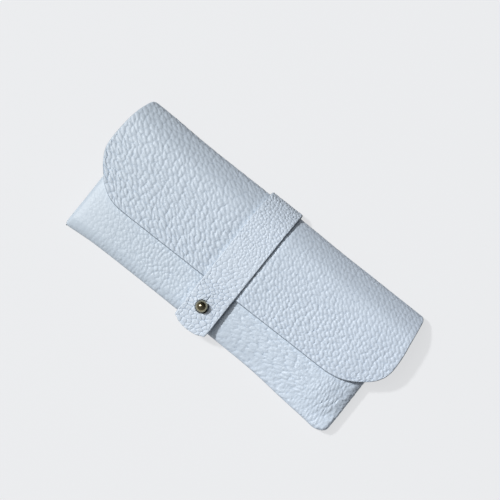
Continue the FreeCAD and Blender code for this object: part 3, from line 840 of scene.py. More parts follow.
class CASE_OT_front(bpy.types.Operator):
    """Builds the front sheet"""

    bl_idname = "case.front"
    bl_label = "Front"

    def execute(self, context):
        look = settings()[0]
        layout = Layout()
        left, right, lower = pouch_corners()
        mouth = np.array([left[-1], right[-1]])
        wide, tall = 172.0, 66.0
        across = graded(wide, layout.step, quarter(5.0, 11), quarter(5.0, 11))
        seen = 30.0
        along = graded(seen, 0.9 * layout.step, quarter(7.0, 15), [0]) * seen / tall
        along = np.concatenate([along, np.linspace(seen / tall, 1, 41)[1:]])
        plan = patch(left, right, lower, mouth, across, along)
        x, y = plan[..., 0], plan[..., 1]
        from_left = x - plan[:, :1, 0]
        from_right = plan[:, -1:, 0] - x
        from_bottom = y - plan[:1, :, 1]
        # The share of its full height that the pillow has: round at each edge, slower along the right half's lower one
        cover = 0.55 * edge_round(from_left, 2.2) + 0.45 * edge_round(from_left, 24.0)
        cover = cover * edge_round(from_right, 3.5)
        thin = 0.25 * edge_round(from_bottom, 1.4) + 0.75 * (1 - (1 - np.clip(from_bottom / 14.0, 0, 1)) ** 1.6)
        flat_right = smooth(x, 0.0, 40.0)
        cover = cover * (edge_round(from_bottom, 6.0) * (1 - flat_right) + thin * flat_right)
        # It dies away over the last 20 mm to the right
        sunk = 4.4 * np.clip(1 - from_right / 20.0, 0, 1) ** 2.1
        z = front_height(y, layout) - pressed(x, y) - slumped(x, y) - sunk
        height = (z - SEAM_HEIGHT) * cover
        # It never sinks to the stitches: the greater of two heights, the corner between them rounded
        welt_width, welt_height = 2.6, 2.55
        welt = edge_round(from_right, welt_width) * edge_round(from_bottom, welt_width)
        welt = welt * edge_round(from_left, welt_width)
        least, ease = welt_height * welt, 0.35 * welt
        height = (height + least + np.sqrt((height - least) ** 2 + ease**2)) / 2
        # The stud's backing stands up under it and draws its grain flatter
        boss_height = 0.85
        boss = (1 - smooth(np.hypot(x - STUD[0], y - STUD[1]), 6.6, 9.5)) * smooth(from_bottom, 0.0, 1.5)
        z = SEAM_HEIGHT + height + boss_height * boss
        base = np.stack([x, y, z], -1)
        normal = normals_of(base)
        # Stitches draw the edge in, a dimple to each
        run, stitch, inset = run_of(plan[0]), 4.0, 2.2
        pull = 0.03 * np.cos(2 * math.pi * run / stitch)[None] * np.exp(-((from_bottom - inset) / inset) ** 2)
        z = z - pull
        base = drawn_in(np.stack([x, y, z], -1), normal)
        swell = hide_grain(x, y, *CALM_PEBBLES)
        flowing = hide_grain(x, y, *FLOWING_PEBBLES)
        crossing = hide_grain(x, y, *CROSSING_PEBBLES)
        right_half, right_end = smooth(x, 0.0, 20.0), smooth(x, 56.0, 76.0)
        swell = swell * (1 - right_half) + right_half * (flowing * (1 - right_end) + crossing * right_end)
        strength = look.front_grain / MM * (0.22 + 0.78 * smooth(x, -84.0, -40.0) + 0.30 * smooth(x, 20.0, 50.0))
        strength = strength * smooth(from_bottom, 0.0, 0.9) * smooth(from_right, 0.0, 1.5) * (1 - 0.5 * boss)
        swelling = 0.5 * (rolling(x, y, 24.0, 3) - 0.5) * smooth(from_bottom, 0.0, 8.0) * smooth(from_left, 0, 8)
        outer = base + normal * (strength * (swell - 0.5) + swelling * smooth(from_right, 0, 8))[..., None]
        inner = base - normal * layout.hide
        outer[0], outer[:, 0], outer[:, -1] = base[0], base[:, 0], base[:, -1]
        bulge = np.zeros(x.shape)
        bulge[-1] = 0.18
        # The creases' shade fades where the grain does
        marked = 0.3 + 0.7 * smooth(x, -80.0, -35.0)
        shade = 1 - (1 - creased(swell)) * marked
        materials = hide_materials("front_grain", look.front_colour, 1.09)
        piece = closed_sheet("front_sheet", materials, outer, inner, plan, shade, bulge)
        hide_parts("front_panel")
        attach(piece, "pouch")
        return {"FINISHED"}


# ---------------------------------------------------------------- back and lower fold


class CASE_OT_back(bpy.types.Operator):
    """Builds the back of the hide, up to the outside of the fold"""

    bl_idname = "case.back"
    bl_label = "Back"

    def execute(self, context):
        look = settings()[0]
        layout = Layout()
        section = Section(layout.lower(BACK_LOW[1] - 4.0), 1)
        left, right, lower = pouch_corners()

        def side_line(side_points, side):
            """From the lower corner up the pouch's side, out past its mouth and round the fold, as (x, run)."""
            wall = side_points[side_points[:, 1] < MOUTH_Y - 5.0]
            spread = through([tuple(wall[-1]), (side_points[-1, 0], MOUTH_Y - 2.5),
                              (side * (FOLD_HALF - 2.0), MOUTH_Y + 2.0), (side * FOLD_HALF, layout.fold[0] - 2.0)])
            flat = np.stack([np.interp(-spread[:, 1], -spread[::-1, 1], spread[::-1, 0]), spread[:, 1]], -1)
            flat = joined(wall, flat)
            flat_run = section.run_at(flat[:, 1])
            turn = np.radians(np.linspace(-90, 0, 40))
            y = layout.fold[0] + layout.fold_out * np.cos(turn)
            round_run = layout.fold_out * -turn
            fold = np.stack([hide_half(y, layout, side), round_run], -1)
            return joined(np.stack([flat[:, 0], flat_run], -1), fold)

        left_line, right_line = side_line(left, -1), side_line(right, 1)
        low_line = np.stack([lower[:, 0], section.run_at(lower[:, 1])], -1)
        top_line = np.array([left_line[-1], right_line[-1]])
        wide, tall = 175.0, 82.0
        step = layout.step * 1.2
        across = graded(wide, step, quarter(SEAM_HEIGHT, 12), quarter(SEAM_HEIGHT, 12))
        along = graded(tall, step, quarter(SEAM_HEIGHT, 12), [0, 0.3])
        plan = patch(left_line, right_line, low_line, top_line, across, along)
        x, run = plan[..., 0], plan[..., 1]
        (y, z), (normal_y, normal_z) = section.at(run)
        from_left, from_right = x - x[:, :1], x[:, -1:] - x
        from_bottom = run[:1] - run
        cover = edge_round(from_left, SEAM_HEIGHT) * edge_round(from_right, SEAM_HEIGHT)
        cover = cover * edge_round(from_bottom, SEAM_HEIGHT)
        held = 1 - smooth(y, MOUTH_Y - 3.0, layout.fold[0] - 1.0)
        # Over the strap's tail the back stands up by the tail's thickness
        low = np.abs(x - STRAP_X) - (STRAP_HALF + 0.6)
        channel = (1 - smooth(low, 0.0, 2.2)) * smooth(y, TAIL_END_Y - 3.0, TAIL_END_Y - 0.4)
        lift = (layout.rise - z) * channel * (run > layout.fold_out * math.pi / 2)
        z = z + np.clip(lift, 0, None)
        # The sewn edges curl up to the seam
        z = z + (SEAM_HEIGHT - z) * (1 - cover) * held
        base = np.stack([x, y + skewed(x, y), z], -1)
        normal = normals_of(base)
        down = np.where(np.sum(normal[..., 2]) > 0, -1.0, 1.0)
        normal = level_at_fold(normal * down, normal_y, normal_z, run)
        base = drawn_in(base, normal, held)
        swell = hide_grain(x, -run, *BACK_PEBBLES)
        touch = smooth(z, 0.0, 0.8)
        # Where it lies on the table its grain stays over it, and is lower
        strength = look.flap_grain / MM * (0.35 + 0.65 * touch)
        calm = smooth(from_bottom, 0.0, 1.5) * smooth(run, 0.0, 1.5)
        outer = base + normal * (strength * (swell - 1.0 + 0.5 * touch) * calm)[..., None]
        inner = base - normal * layout.hide
        bulge = np.zeros(x.shape)
        bulge[:, 0] = bulge[:, -1] = 0.2 * (1 - held)[:, 0]
        bulge[-1] = 0.0
        materials = hide_materials("flap_grain", look.flap_colour)
        piece = closed_sheet("back_sheet", materials, outer, inner, plan * (1, -1), creased(swell), bulge)
        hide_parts("back_panel", "fold_spine")
        bend(piece, layout.on_fold(0.0, -90.0), layout.on_fold(0.0, -FIRM_FOLD))
        return {"FINISHED"}


# ---------------------------------------------------------------- flap


# Knots of the flap's free edges, as (x, y)
FLAP_LEFT = [(-91.9, 31.0), (-92.8, 24.5), (-93.35, 17.0), (-93.35, 10.5), (-92.7, 5.6), (-91.1, 2.0), (-88.8, -1.6),
             (-85.75, -5.2)]
FLAP_RIGHT = [(91.9, 24.5), (93.0, 17.0), (93.45, 10.5), (93.3, 6.0), (92.2, 1.8), (89.6, -2.4), (85.45, -6.3)]
FLAP_LOWER = [FLAP_LEFT[-1], (-82.9, -8.3), (-79.35, -11.0), (-75.4, -13.3), (-71.0, -14.7), (-65.0, -15.25),
              (-50.0, -15.2), (-20.0, -15.0), (15.0, -14.7), (45.0, -14.4), (58.0, -14.35), (66.25, -14.2),
              (71.8, -13.35), (76.45, -11.9), (81.2, -9.4), FLAP_RIGHT[-1]]
# Distances from its cut edge at which the flap's mesh has points, and how far its grain side turns down there
FLAP_FINE = [0, 0.05, 0.14, 0.27, 0.43, 0.62, 0.85]
TURNED_EDGE = 0.35


class CASE_OT_flap(bpy.types.Operator):
    """Builds the flap, from the outside of the fold to its lower edge"""

    bl_idname = "case.flap"
    bl_label = "Flap"

    def execute(self, context):
        look = settings()[0]
        layout = Layout()
        section = Section(layout.upper(0.0, -22.0), -1)
        turn = np.radians(np.linspace(0, ROLL_ANGLE, 40))
        roll_out = layout.roll_in + layout.hide
        fold_y = layout.roll[0] + roll_out * np.cos(turn)

        def side_line(side, knots):
            """Round the fold's end, then out along the flap's bulging end to the lower corner, as (x, run)."""
            fold = np.stack([hide_half(fold_y, layout, side), roll_out * turn], -1)
            end = through([(side * FOLD_HALF, fold_y[-1])] + knots)
            return joined(fold, np.stack([end[:, 0], section.run_at(end[:, 1])], -1))

        left_line, right_line = side_line(-1, FLAP_LEFT), side_line(1, FLAP_RIGHT)
        lower = through(FLAP_LOWER)
        low_line = np.stack([lower[:, 0], section.run_at(lower[:, 1])], -1)
        top_line = np.array([left_line[0], right_line[0]])
        wide, tall = 184.0, 57.0
        step = 0.94 * layout.step
        across = graded(wide, step, FLAP_FINE, FLAP_FINE)
        along = graded(tall, step, FLAP_FINE, [0, 0.3])
        plan = patch(left_line[::-1], right_line[::-1], low_line, top_line, across, along)
        x, run = plan[..., 0], plan[..., 1]
        (y, z), (normal_y, normal_z) = section.at(run)
        # The free ends hang over the pouch's sides
        past = smooth(np.abs(x), 70.0, 96.0) * smooth(run, 9.0, 26.0)
        corner = smooth(np.abs(x), 55.0, 92.0) * smooth(-y, -10.0, 14.0)
        z = z - 0.7 * past - 0.4 * corner - pressed(x, y) - slumped(x, y, run)
        y = y + 0.3 * slumped(x, y, run) + skewed(x, y)
        base = np.stack([x, y, z], -1)
        normal = normals_of(base)
        normal = level_at_fold(normal * np.sign(np.sum(normal[..., 2])), normal_y, normal_z, run)
        right_half = smooth(x, -12.0, 10.0)
        swell = hide_grain(x, -run, *FLAP_LONG_PEBBLES) * (1 - right_half)
        swell = swell + hide_grain(x, -run, *FLAP_SMALL_PEBBLES) * right_half
        from_low, from_left, from_right = run[:1] - run, x - x[:, :1], x[:, -1:] - x
        inland = smooth(from_low, 0.0, 1.2) * smooth(from_left, 0, 1.2) * smooth(from_right, 0, 1.2)
        strength = look.flap_grain / MM * (0.5 + 0.5 * inland) * smooth(run, 0.0, 1.5)
        strength = strength * (0.76 + 0.66 * smooth(run, 10.0, 46.0) - 0.20 * right_half)
        rolls = 0.35 * (rolling(x, run, 26.0, 5) - 0.5) * smooth(run, 8.0, 16.0)
        # The grain side turns down in a quarter circle at the free edges
        into = np.clip(TURNED_EDGE - np.minimum(from_low, np.minimum(from_left, from_right)), 0, TURNED_EDGE)
        turned = TURNED_EDGE - np.sqrt(np.clip(TURNED_EDGE**2 - into**2, 0, None))
        turned = turned * smooth(run, 0.0, 6.0)
        # Painted shadow: the colour falls to crease-dark in a thin line along the lower cut edge, where the flap's edge
        # meets the front
        shade = smooth(from_low, 0.08, 0.45)
        outer = base + normal * (strength * (swell - 0.5) + rolls - turned)[..., None]
        inner = base - normal * (layout.hide - rolls)[..., None]
        bulge = np.full(x.shape, 0.22)
        bulge[:, 0] = bulge[:, -1] = 0.22 * smooth(run[:, 0], 0.0, 2.0)
        bulge[-1] = 0.0
        materials = hide_materials("flap_grain", look.flap_colour)
        piece = closed_sheet("flap_sheet", materials, outer, inner, plan * (1, -1), creased(swell) * shade, bulge)
        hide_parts("flap", "fold_spine")
        bend(piece, layout.on_roll(0.0, FIRM_ROLL), layout.on_roll(0.0, HELD_ANGLE))
        return {"FINISHED"}


# ---------------------------------------------------------------- strap


# Millimetres between neighbouring points of the strap and of its tail
STRAP_STEP = 0.30
TAIL_STEP = 0.42
# Half the width of the buttonhole's slit
SLIT_HALF = 0.16


def strap_section(layout):
    """Section of the strap's outside: round the fold, over the crown to the shoulder and down its droop to its end."""
    outside = layout.crown_radius + layout.layer + layout.layer
    angle = math.degrees(math.acos((SHOULDER_Y - layout.crown[0]) / outside))
    centre = on_circle(layout.crown, outside - STRAP_DROOP, angle)
    droop = arc(centre, STRAP_DROOP, angle, angle + math.degrees(30.0 / STRAP_DROOP))
    return Section(joined(layout.upper(layout.layer, SHOULDER_Y), droop), -1)


def strap_skin(section, plan, layout, seed, fade=1.0):
    """Outer and inner grids of a piece of strap from its flat plan of (x, run), its normals and its grain's swell."""
    x, run = plan[..., 0], plan[..., 1]
    (y, z), (normal_y, normal_z) = section.at(run)
    normal = np.stack([np.zeros(x.shape), normal_y, normal_z], -1)
    above = z > layout.fold[1]
    slump = slumped(0.0 * x, y, run) * above
    press = pressed(x, y) * smooth(run, 0.0, 3.0) * above
    base = np.stack([x, y + 0.3 * slump + skewed(0.0 * x, y), z - press - slump], -1)
    low = smooth(y, 18.0, -12.0)
    swell = hide_grain(x, -run, 1.9, 1.6, 0.6, seed, crisp=9.0, fine=0.08) * (1 - low)
    swell = swell + hide_grain(x, -run, 2.9, 2.1, 0.5, seed + 1, crisp=11.0, fine=0.08) * low
    side = np.minimum(x - STRAP_LEFT, STRAP_RIGHT - x)
    calm = (smooth(side, 0.0, 0.5) * 0.5 + 0.5) * (1.1 - 0.1 * low) * fade
    outer = base + normal * (settings()[0].strap_grain / MM * (swell - 0.5) * calm)[..., None]
    # The cut edges are pared a little: the grain side turns down near them
    outer = outer - normal * (0.08 * (1 - smooth(side, 0.0, 0.35)))[..., None]
    return outer, base - normal * layout.hide, normal, creased(swell)


def strip(across, start, end):
    """A straight piece of the strap's plan, as (x, run), from one run to another."""
    run = np.linspace(start, end, 2 * int((end - start) / STRAP_STEP / 2) + 1)
    x = STRAP_LEFT + across * (STRAP_RIGHT - STRAP_LEFT)
    return np.stack(np.broadcast_arrays(x[None, :], run[:, None]), -1)


def tab_edge(tab_run, bottom_run):
    """The tab's edge as (x, run): down its left side, round its gently arched end and up its right side."""
    corner, arch, steps = 5.5, 0.5, 60
    corner_left = through([(STRAP_LEFT, bottom_run - corner), (STRAP_LEFT + 0.35, bottom_run - 0.55 * corner + 0.6),
                           (STRAP_LEFT + 1.75, bottom_run - 1.85), (STRAP_LEFT + 3.7, bottom_run - arch - 0.28),
                           (STRAP_LEFT + corner + 1.2, bottom_run - 0.12)], 0.3)
    corner_right = (corner_left * (-1, 1) + (STRAP_LEFT + STRAP_RIGHT, 0))[::-1]
    middle = through([tuple(corner_left[-1]), (STRAP_X, bottom_run + 0.05), tuple(corner_right[0])], 0.3)
    down = np.linspace(tab_run, bottom_run - corner, steps)
    left_side = np.stack([np.full(steps, STRAP_LEFT), down], -1)
    right_side = np.stack([np.full(steps, STRAP_RIGHT), down[::-1]], -1)
    edge = joined(left_side, corner_left, middle, corner_right, right_side)
    return at_shares(edge, graded(run_of(edge)[-1], STRAP_STEP, [0, 0.3], [0, 0.3]))


def keyhole(centre, radius, slit):
    """The buttonhole's line, from the slit's far end round the hole and back, and the angle that each point answers to.

    The angles run through a whole turn from the slit's; the slit's two sides take up 1.05 radians each.
    """
    opening = math.asin(SLIT_HALF / radius)
    slit_end = centre[1] - math.sqrt(radius**2 - SLIT_HALF**2) - slit
    near_side = np.stack([np.full(20, centre[0] - SLIT_HALF), np.linspace(slit_end, centre[1] - radius, 20)], -1)
    turn = np.linspace(-math.pi / 2 - opening, -5 * math.pi / 2 + opening, 150)
    ring = centre + radius * np.stack([np.cos(turn), np.sin(turn)], -1)
    line = joined(near_side, ring, near_side[::-1] + (2 * SLIT_HALF, 0))
    total, spread = run_of(line)[-1], 1.05
    share = slit / total
    angles = [-math.pi / 2, -math.pi / 2 - spread, -5 * math.pi / 2 + spread, -5 * math.pi / 2]
    return line, np.interp(run_of(line) / total, [0, share, 1 - share, 1], angles)


def facing(outline, centre, line, line_angle):
    """The outline, begun over the slit, and for each of its points the keyhole's point that answers to its angle."""
    angle = np.unwrap(np.arctan2(*(outline - centre).T[::-1]))
    if angle[0] <= angle[-1]:
        outline, angle = outline[::-1], angle[::-1]
    angle = angle - 2 * math.pi * math.floor((angle[0] + math.pi / 2) / (2 * math.pi))
    start = int(np.argmax(angle <= -math.pi / 2))
    angle = np.concatenate([angle[start:], angle[:start] - 2 * math.pi])
    loop = np.roll(outline, -start, axis=0)
    return loop, np.stack([np.interp(-angle, -line_angle, column) for column in line.T], -1)


class CASE_OT_strap_front(bpy.types.Operator):
    """Builds the strap over the flap, with its buttonhole, and its turn round the fold"""

    bl_idname = "case.strap_front"
    bl_label = "Strap front"

    def execute(self, context):
        look, stud = settings()[:2]
        layout = Layout()
        section = strap_section(layout)
        materials = hide_materials("strap_grain", look.strap_colour)
        held_run = math.radians(HELD_ANGLE) * (layout.roll_in + layout.hide + layout.layer)
        fine = [0, 0.15, 0.35]
        across = graded(2 * STRAP_HALF, STRAP_STEP, fine, fine)

        # The turn round the fold
        plan = strip(across, 0.0, held_run)
        outer, inner, _, swell = strap_skin(section, plan, layout, 91, smooth(plan[..., 1], 0, 1.0))
        bulge = np.zeros(plan.shape[:2])
        bulge[:, 0] = bulge[:, -1] = 0.18
        bulge[0] = bulge[-1] = 0
        turn = closed_sheet("strap_turn", materials, outer, inner, plan * (1, -1), swell, bulge)
        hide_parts("strap_spine")
        bend(turn, layout.on_roll(layout.layer, FIRM_ROLL), layout.on_roll(layout.layer, HELD_ANGLE))

        # The long run over the flap
        tab_run = section.run_at(TAB_Y)
        plan = strip(across, held_run, tab_run)
        outer, inner, _, swell = strap_skin(section, plan, layout, 91)
        # The tab, as rings from its outline in to the keyhole
        bottom_run = section.run_at(STRAP_LOW[1])
        stud_run = section.run_at(STUD[1]) - 0.1
        centre, radius = np.array([STUD[0] + 0.15, stud_run]), stud.hole / MM / 2
        outline = np.concatenate([plan[-1][::-1], tab_edge(tab_run, bottom_run)[1:-1]])
        loop, inner_loop = facing(outline, centre, *keyhole(centre, radius, stud.slit / MM))
        depth = np.concatenate([[0, 0.03, 0.07], np.linspace(0.10, 0.93, 52), [0.95, 0.975, 1.0]])[:, None, None]
        rings = loop[None] * (1 - depth) + inner_loop[None] * depth
        ring_outer, ring_inner, ring_normal, ring_swell = strap_skin(section, rings, layout, 91)
        # It stands up round the hole and is pared along its cut edges
        around = np.linalg.norm(rings - inner_loop[None], axis=-1)
        at_top = loop[:, 1] < tab_run + 1e-6
        from_edge = np.where(at_top, 9.0, np.linalg.norm(rings - loop[None], axis=-1))
        from_hole = np.exp(-((np.linalg.norm(rings - centre, axis=-1) - radius) / 1.6).clip(0) ** 2)
        shape = 0.22 * from_hole - 0.20 * np.exp(-((around / 0.35) ** 2)) - 0.08 * (1 - smooth(from_edge, 0, 0.35))
        at_side = np.minimum(rings[..., 0] - STRAP_LEFT, STRAP_RIGHT - rings[..., 0])
        shape = shape + 0.08 * (1 - smooth(at_side, 0.0, 0.35)) * (rings[..., 1] > tab_run + 1e-6)
        shape = shape * smooth(rings[..., 1] - tab_run, 0.0, 2.0)
        ring_outer = ring_outer + ring_normal * shape[..., None]
        strip_place, ring_place = plan * (1, -1), rings * (1, -1)
        skin = Skin()
        skin.add(outer, strip_place, swell, GRAIN)
        skin.add(inner, strip_place, 0.5, FLESH)
        skin.add(ring_outer, ring_place, ring_swell, GRAIN, wrap=True)
        skin.add(ring_inner, ring_place, 0.5, FLESH, wrap=True)
        # One cut edge goes down one side, round the end and up the other, and across where the strap is held
        from_start = int(np.argmax(np.roll(at_top, 1) & ~at_top))
        free = np.roll(np.arange(len(loop)), -from_start)[: int(np.sum(~at_top))]
        begin, last = (-1, 0) if ring_outer[0, free[0] - 1, 0] > STRAP_X else (0, -1)
        held_end = slice(1, -1) if last == 0 else slice(-2, 0, -1)
        edges = [
            np.concatenate([straight[:, begin], ring[0, free], straight[::-1, last], straight[0, held_end]])
            for straight, ring in ((outer, ring_outer), (inner, ring_inner), (strip_place, ring_place))
        ]
        open_edge = np.zeros(len(edges[0]))
        open_edge[3 : 2 * len(outer) + len(free) - 3] = 0.10
        rim(skin, *edges, open_edge, CUT)
        rim(skin, ring_outer[-1], ring_inner[-1], ring_place[-1], np.full(len(loop), -0.08), CUT)
        piece = skin.object("strap_sheet", materials)
        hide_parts("strap_front")
        start, end = (layout.on_roll(layout.layer, angle) for angle in (HELD_ANGLE, LIFT_ANGLE))
        bend(piece, start, end)
        return {"FINISHED"}


class CASE_OT_strap_tail(bpy.types.Operator):
    """Builds the strap's tail, sewn under the back, with a groove for its box of stitches"""

    bl_idname = "case.strap_tail"
    bl_label = "Strap tail"

    def execute(self, context):
        look = settings()[0]
        layout = Layout()
        y = np.linspace(layout.fold[0], TAIL_END_Y - 3.0, 400)
        points = joined(arc(layout.fold, layout.strap_out, 0, -90), np.stack([y, np.zeros(400)], -1))
        section = Section(points, 1)
        end_run = section.run_at(TAIL_END_Y)
        wide, curve, fine = 20.0, 3.0, [0, 0.2, 0.5]
        top_line = np.array([[STRAP_LEFT, 0.0], [STRAP_RIGHT, 0.0]])
        low_left, low_right = (STRAP_LEFT, end_run), (STRAP_RIGHT, end_run)
        first, second = rounded(low_left, top_line[0], low_right, curve)
        third, fourth = rounded(low_right, low_left, top_line[1], curve)
        left_line = joined(top_line[:1], np.array([[STRAP_LEFT, end_run - curve]]), first)
        right_line = joined(top_line[1:], np.array([[STRAP_RIGHT, end_run - curve]]), fourth[::-1])
        across = graded(wide, TAIL_STEP, fine, fine)
        along = graded(end_run, TAIL_STEP, [0, 0.2], fine)
        plan = patch(left_line, right_line, top_line, joined(second, third), across, along)
        outer, inner, normal, swell = strap_skin(section, plan, layout, 95, smooth(plan[..., 1], 0.0, 1.0))
        # The groove follows the box of stitches, by the distance from its outline
        thread_low, thread_high = cad_box("strap_thread")
        middle = (thread_low[:2] + thread_high[:2]) / 2
        half = (thread_high[:2] - thread_low[:2]) / 2 - 0.3
        off = np.abs(outer[..., :2] - middle) - half
        outside = np.linalg.norm(np.clip(off, 0, None), axis=-1) + np.clip(np.max(off, axis=-1), None, 0)
        outer = outer - normal * (0.5 * (1 - smooth(np.abs(outside), 0.15, 0.65)))[..., None]
        bulge = np.full(plan.shape[:2], 0.15)
        bulge[0] = 0.0
        materials = hide_materials("strap_grain", look.strap_colour)
        piece = closed_sheet("strap_tail_sheet", materials, outer, inner, plan * (1, -1), swell, bulge)
        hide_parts("strap_tail", "strap_spine")
        bend(piece, layout.on_fold(layout.layer, -90.0), layout.on_fold(layout.layer, -FIRM_FOLD))
        return {"FINISHED"}


# ---------------------------------------------------------------- stud and threads


THREAD_COLOUR = (0.62, 0.66, 0.69)


def lathe(name, look, profile, count, place):
    """A turned piece: a profile of (radius, height) carried round the upright axis in even steps."""
    turn = np.linspace(0, 2 * math.pi, count, endpoint=False)
    radius, height = profile[:, :1], profile[:, 1:]
    x, y = place[0] + radius * np.cos(turn), place[1] + radius * np.sin(turn)
    points = np.stack(np.broadcast_arrays(x, y, height), -1)
    skin = Skin()
    skin.add(points, points[..., :2], 1.0, 0, wrap=True)
    return skin.object(name, [look])


def dress(node, look):
    """Gives a finished material to a CAD piece that stays as it is."""
    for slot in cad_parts[node].material_slots:
        slot.material = look


class CASE_OT_stud(bpy.types.Operator):
    """Builds the stud's ball, neck and foot"""

    bl_idname = "case.stud"
    bl_label = "Stud"

    def execute(self, context):
        stud = settings()[1]
        brass = material("aged_brass", aged_brass, stud.metal_colour)
        ball, neck, base = stud.ball / MM / 2, stud.neck / MM / 2, stud.base / MM / 2
        rim_height, cone_height = stud.base_height / MM, stud.cone_height / MM
        barrel, edge, ball_rise = 2.1, 0.22, 6.0
        ball_height = POST_HIGH[2] - ball
        seat = ball_height - ball_rise
        cone_top = seat + rim_height + cone_height
        meet = math.degrees(math.acos(neck / ball))
        turn = np.radians(np.linspace(-meet, 90, 40))
        sphere = np.stack([ball * np.cos(turn), ball_height + ball * np.sin(turn)], -1)
        sphere[-1, 0] = 0.0
        shank = np.array([[0.0, POST_LOW[2]], [barrel, POST_LOW[2]], [barrel, seat]])
        foot = arc((base - edge, seat + edge), edge, -90, 0)
        brow = arc((base - edge, seat + rim_height - edge), edge, 0, 70)
        hollow = through([tuple(brow[-1]), (base - 1.0, seat + rim_height + 0.25), (neck + 0.35, cone_top - 0.12),
                          (neck, cone_top + 0.2)], 0.12)
        piece = lathe("stud_ball", brass, joined(shank, foot, brow, hollow, sphere), 72, STUD)
        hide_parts("stud_post")
        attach(piece, "pouch")
        dress("stud_screw", brass)
        return {"FINISHED"}


class CASE_OT_inside(bpy.types.Operator):
    """Gives the stud's backing and the threads their finish"""

    bl_idname = "case.inside"
    bl_label = "Backing and threads"

    def execute(self, context):
        thread = material("waxed_thread", waxed_thread, THREAD_COLOUR)
        dress("seam_thread", thread)
        dress("strap_thread", thread)
        dress("stud_backing", material("backing_flesh", suede, settings()[0].flesh_colour))
        return {"FINISHED"}


# ---------------------------------------------------------------- stage


# Rays that see the floor in its full light: the eye's, and those of metal and glass that show it
FLOOR_RAYS = ("Camera", "Glossy", "Transmission")


# Azimuth and height of the two lamps, in degrees; the long one's distance and size, in metres
KEY_WAY = (189.0, 52.0)
STRIP_WAY = (187.0, 71.0)
STRIP_DISTANCE = 1.2
STRIP_SIZE = (0.10, 0.50)
# The camera looks at a point from a distance, in metres, turned and raised by degrees, with a field in degrees
CAMERA_TARGET = (-0.00175, 0.0105, 0.010)
CAMERA_DISTANCE = 0.700
CAMERA_TURN = 38.6
CAMERA_RISE = 84.0
CAMERA_FIELD = 20.8


def lamp(data, way):
    """A lamp that shines from an azimuth and a height, and the direction toward it."""
    azimuth, height = (math.radians(angle) for angle in way)
    toward = Vector((math.cos(azimuth) * math.cos(height), math.sin(azimuth) * math.cos(height), math.sin(height)))
    made = placed(data.name, data)
    made.rotation_euler = toward.to_track_quat("Z", "Y").to_euler()
    return made, toward


def floor_paper(stage):
    """Paper: a shaded floor for the light that it throws back; for the eye a glow mixed in lifts its shadows."""
    shader = Shader("floor_paper")
    place = shader.here()
    rays = [shader.node("ShaderNodeLightPath", output=f"Is {ray} Ray") for ray in FLOOR_RAYS]
    seen = shader.node("ShaderNodeMath", {0: rays[1], 1: rays[2]}, operation="MAXIMUM")
    seen = shader.node("ShaderNodeMath", {0: rays[0], 1: seen}, operation="MAXIMUM")
    cloud = shader.noise(place, 6.0)
    tone = shader.mix(cloud, scaled(stage.floor_colour, 0.997), scaled(stage.floor_colour, 1.003))
    tone = shader.mix(seen, stage.bounce_colour, tone)
    inputs = {"Base Color": tone, "Roughness": 0.95, "Specular IOR Level": 0.05}
    paper = shader.node("ShaderNodeBsdfPrincipled", inputs)
    glow = shader.node("ShaderNodeEmission", {"Color": opaque(stage.lit_colour)})
    surface = shader.node("ShaderNodeMixShader", {0: seen * stage.shadow_lift, 1: paper, 2: glow})
    shader.node("ShaderNodeOutputMaterial", {"Surface": surface})
    return shader.material


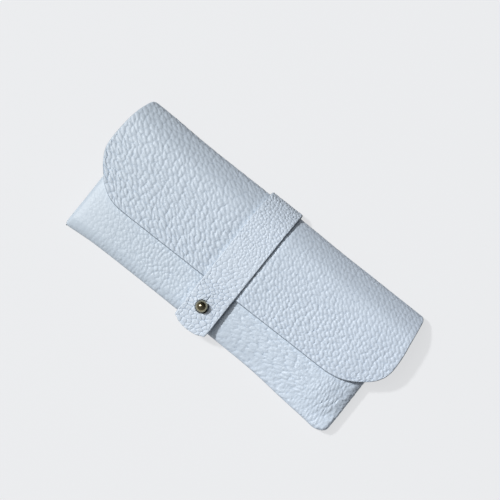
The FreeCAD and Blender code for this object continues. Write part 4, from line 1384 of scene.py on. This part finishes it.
class CASE_OT_stage(bpy.types.Operator):
    """Builds the floor, the lights and the camera"""

    bl_idname = "case.stage"
    bl_label = "Stage"

    def execute(self, context):
        stage = settings()[2]
        scene = bpy.context.scene
        scene.view_settings.view_transform = "Standard"
        mesh = bpy.data.meshes.new("floor")
        corners = np.array([[-1, -1], [1, -1], [1, 1], [-1, 1]]) * 4.0
        mesh.from_pydata(np.column_stack([corners, np.full(4, -0.0001)]).tolist(), [], [[0, 1, 2, 3]])
        mesh.materials.append(floor_paper(stage))
        placed("floor", mesh)

        world = bpy.data.worlds.new("sky")
        sky = Shader("sky", world)
        way = sky.node("ShaderNodeTexCoord", output="Generated")
        side = sky.node("ShaderNodeSeparateXYZ", {"Vector": way}, output="Y")
        tone = sky.mix(0.5 - 0.5 * side, (0.05, 0.05, 0.05), (1.95, 1.95, 1.95))
        back = sky.node("ShaderNodeBackground", {"Color": tone, "Strength": stage.sky_strength})
        sky.node("ShaderNodeOutputWorld", {"Surface": back})
        scene.world = world

        sun = bpy.data.lights.new("key", "SUN")
        sun.energy, sun.angle, sun.color = stage.sun_strength, math.radians(5.0), (1.0, 0.995, 0.985)
        lamp(sun, KEY_WAY)
        panel = bpy.data.lights.new("strip", "AREA")
        panel.shape, panel.energy = "RECTANGLE", stage.strip_power
        panel.size, panel.size_y = STRIP_SIZE
        strip_lamp, toward = lamp(panel, STRIP_WAY)
        strip_lamp.location = STRIP_DISTANCE * toward

        camera = bpy.data.cameras.new("camera")
        camera.angle = math.radians(CAMERA_FIELD)
        camera.clip_start, camera.clip_end = 0.01, 20.0
        eye = placed("camera", camera)
        rise, turn = math.radians(CAMERA_RISE), math.radians(CAMERA_TURN)
        flat, upright = Vector((math.sin(turn), -math.cos(turn), 0.0)), Vector((0, 0, 1))
        back = flat * math.cos(rise) + upright * math.sin(rise)
        up = upright * math.cos(rise) - flat * math.sin(rise)
        eye.location = Vector(CAMERA_TARGET) + back * CAMERA_DISTANCE
        eye.rotation_euler = Matrix((up.cross(back), up, back)).transposed().to_euler()
        scene.camera = eye
        return {"FINISHED"}


# ---------------------------------------------------------------- panel and running


STEPS = ("back", "front", "flap", "strap_tail", "strap_front", "stud", "inside", "stage")


class CASE_PT_panel(bpy.types.Panel):
    """Lists the case's pieces and sizes"""

    bl_label = "Glasses Case"
    bl_idname = "CASE_PT_panel"
    bl_space_type = "VIEW_3D"
    bl_region_type = "UI"
    bl_category = "Glasses Case"

    def draw(self, context):
        for step in STEPS:
            self.layout.operator(f"case.{step}")
        for group in settings():
            box = self.layout.box()
            for name in group.__annotations__:
                box.prop(group, name)


CLASSES = (
    LeatherSettings,
    StudSettings,
    StageSettings,
    CASE_OT_back,
    CASE_OT_front,
    CASE_OT_flap,
    CASE_OT_strap_tail,
    CASE_OT_strap_front,
    CASE_OT_stud,
    CASE_OT_inside,
    CASE_OT_stage,
    CASE_PT_panel,
)


GROUPS = {"case_leather": LeatherSettings, "case_stud": StudSettings, "case_stage": StageSettings}


def register():
    """Adds the operators, the panel and the settings."""
    for part in CLASSES:
        bpy.utils.register_class(part)
    for name, group in GROUPS.items():
        setattr(bpy.types.Scene, name, bpy.props.PointerProperty(type=group))


def unregister():
    """Takes the settings, the panel and the operators away again."""
    for name in GROUPS:
        delattr(bpy.types.Scene, name)
    for part in reversed(CLASSES):
        bpy.utils.unregister_class(part)


def main():
    """Builds every piece."""
    register()
    for step in STEPS:
        getattr(bpy.ops.case, step)()


if __name__ == "__main__":
    main()
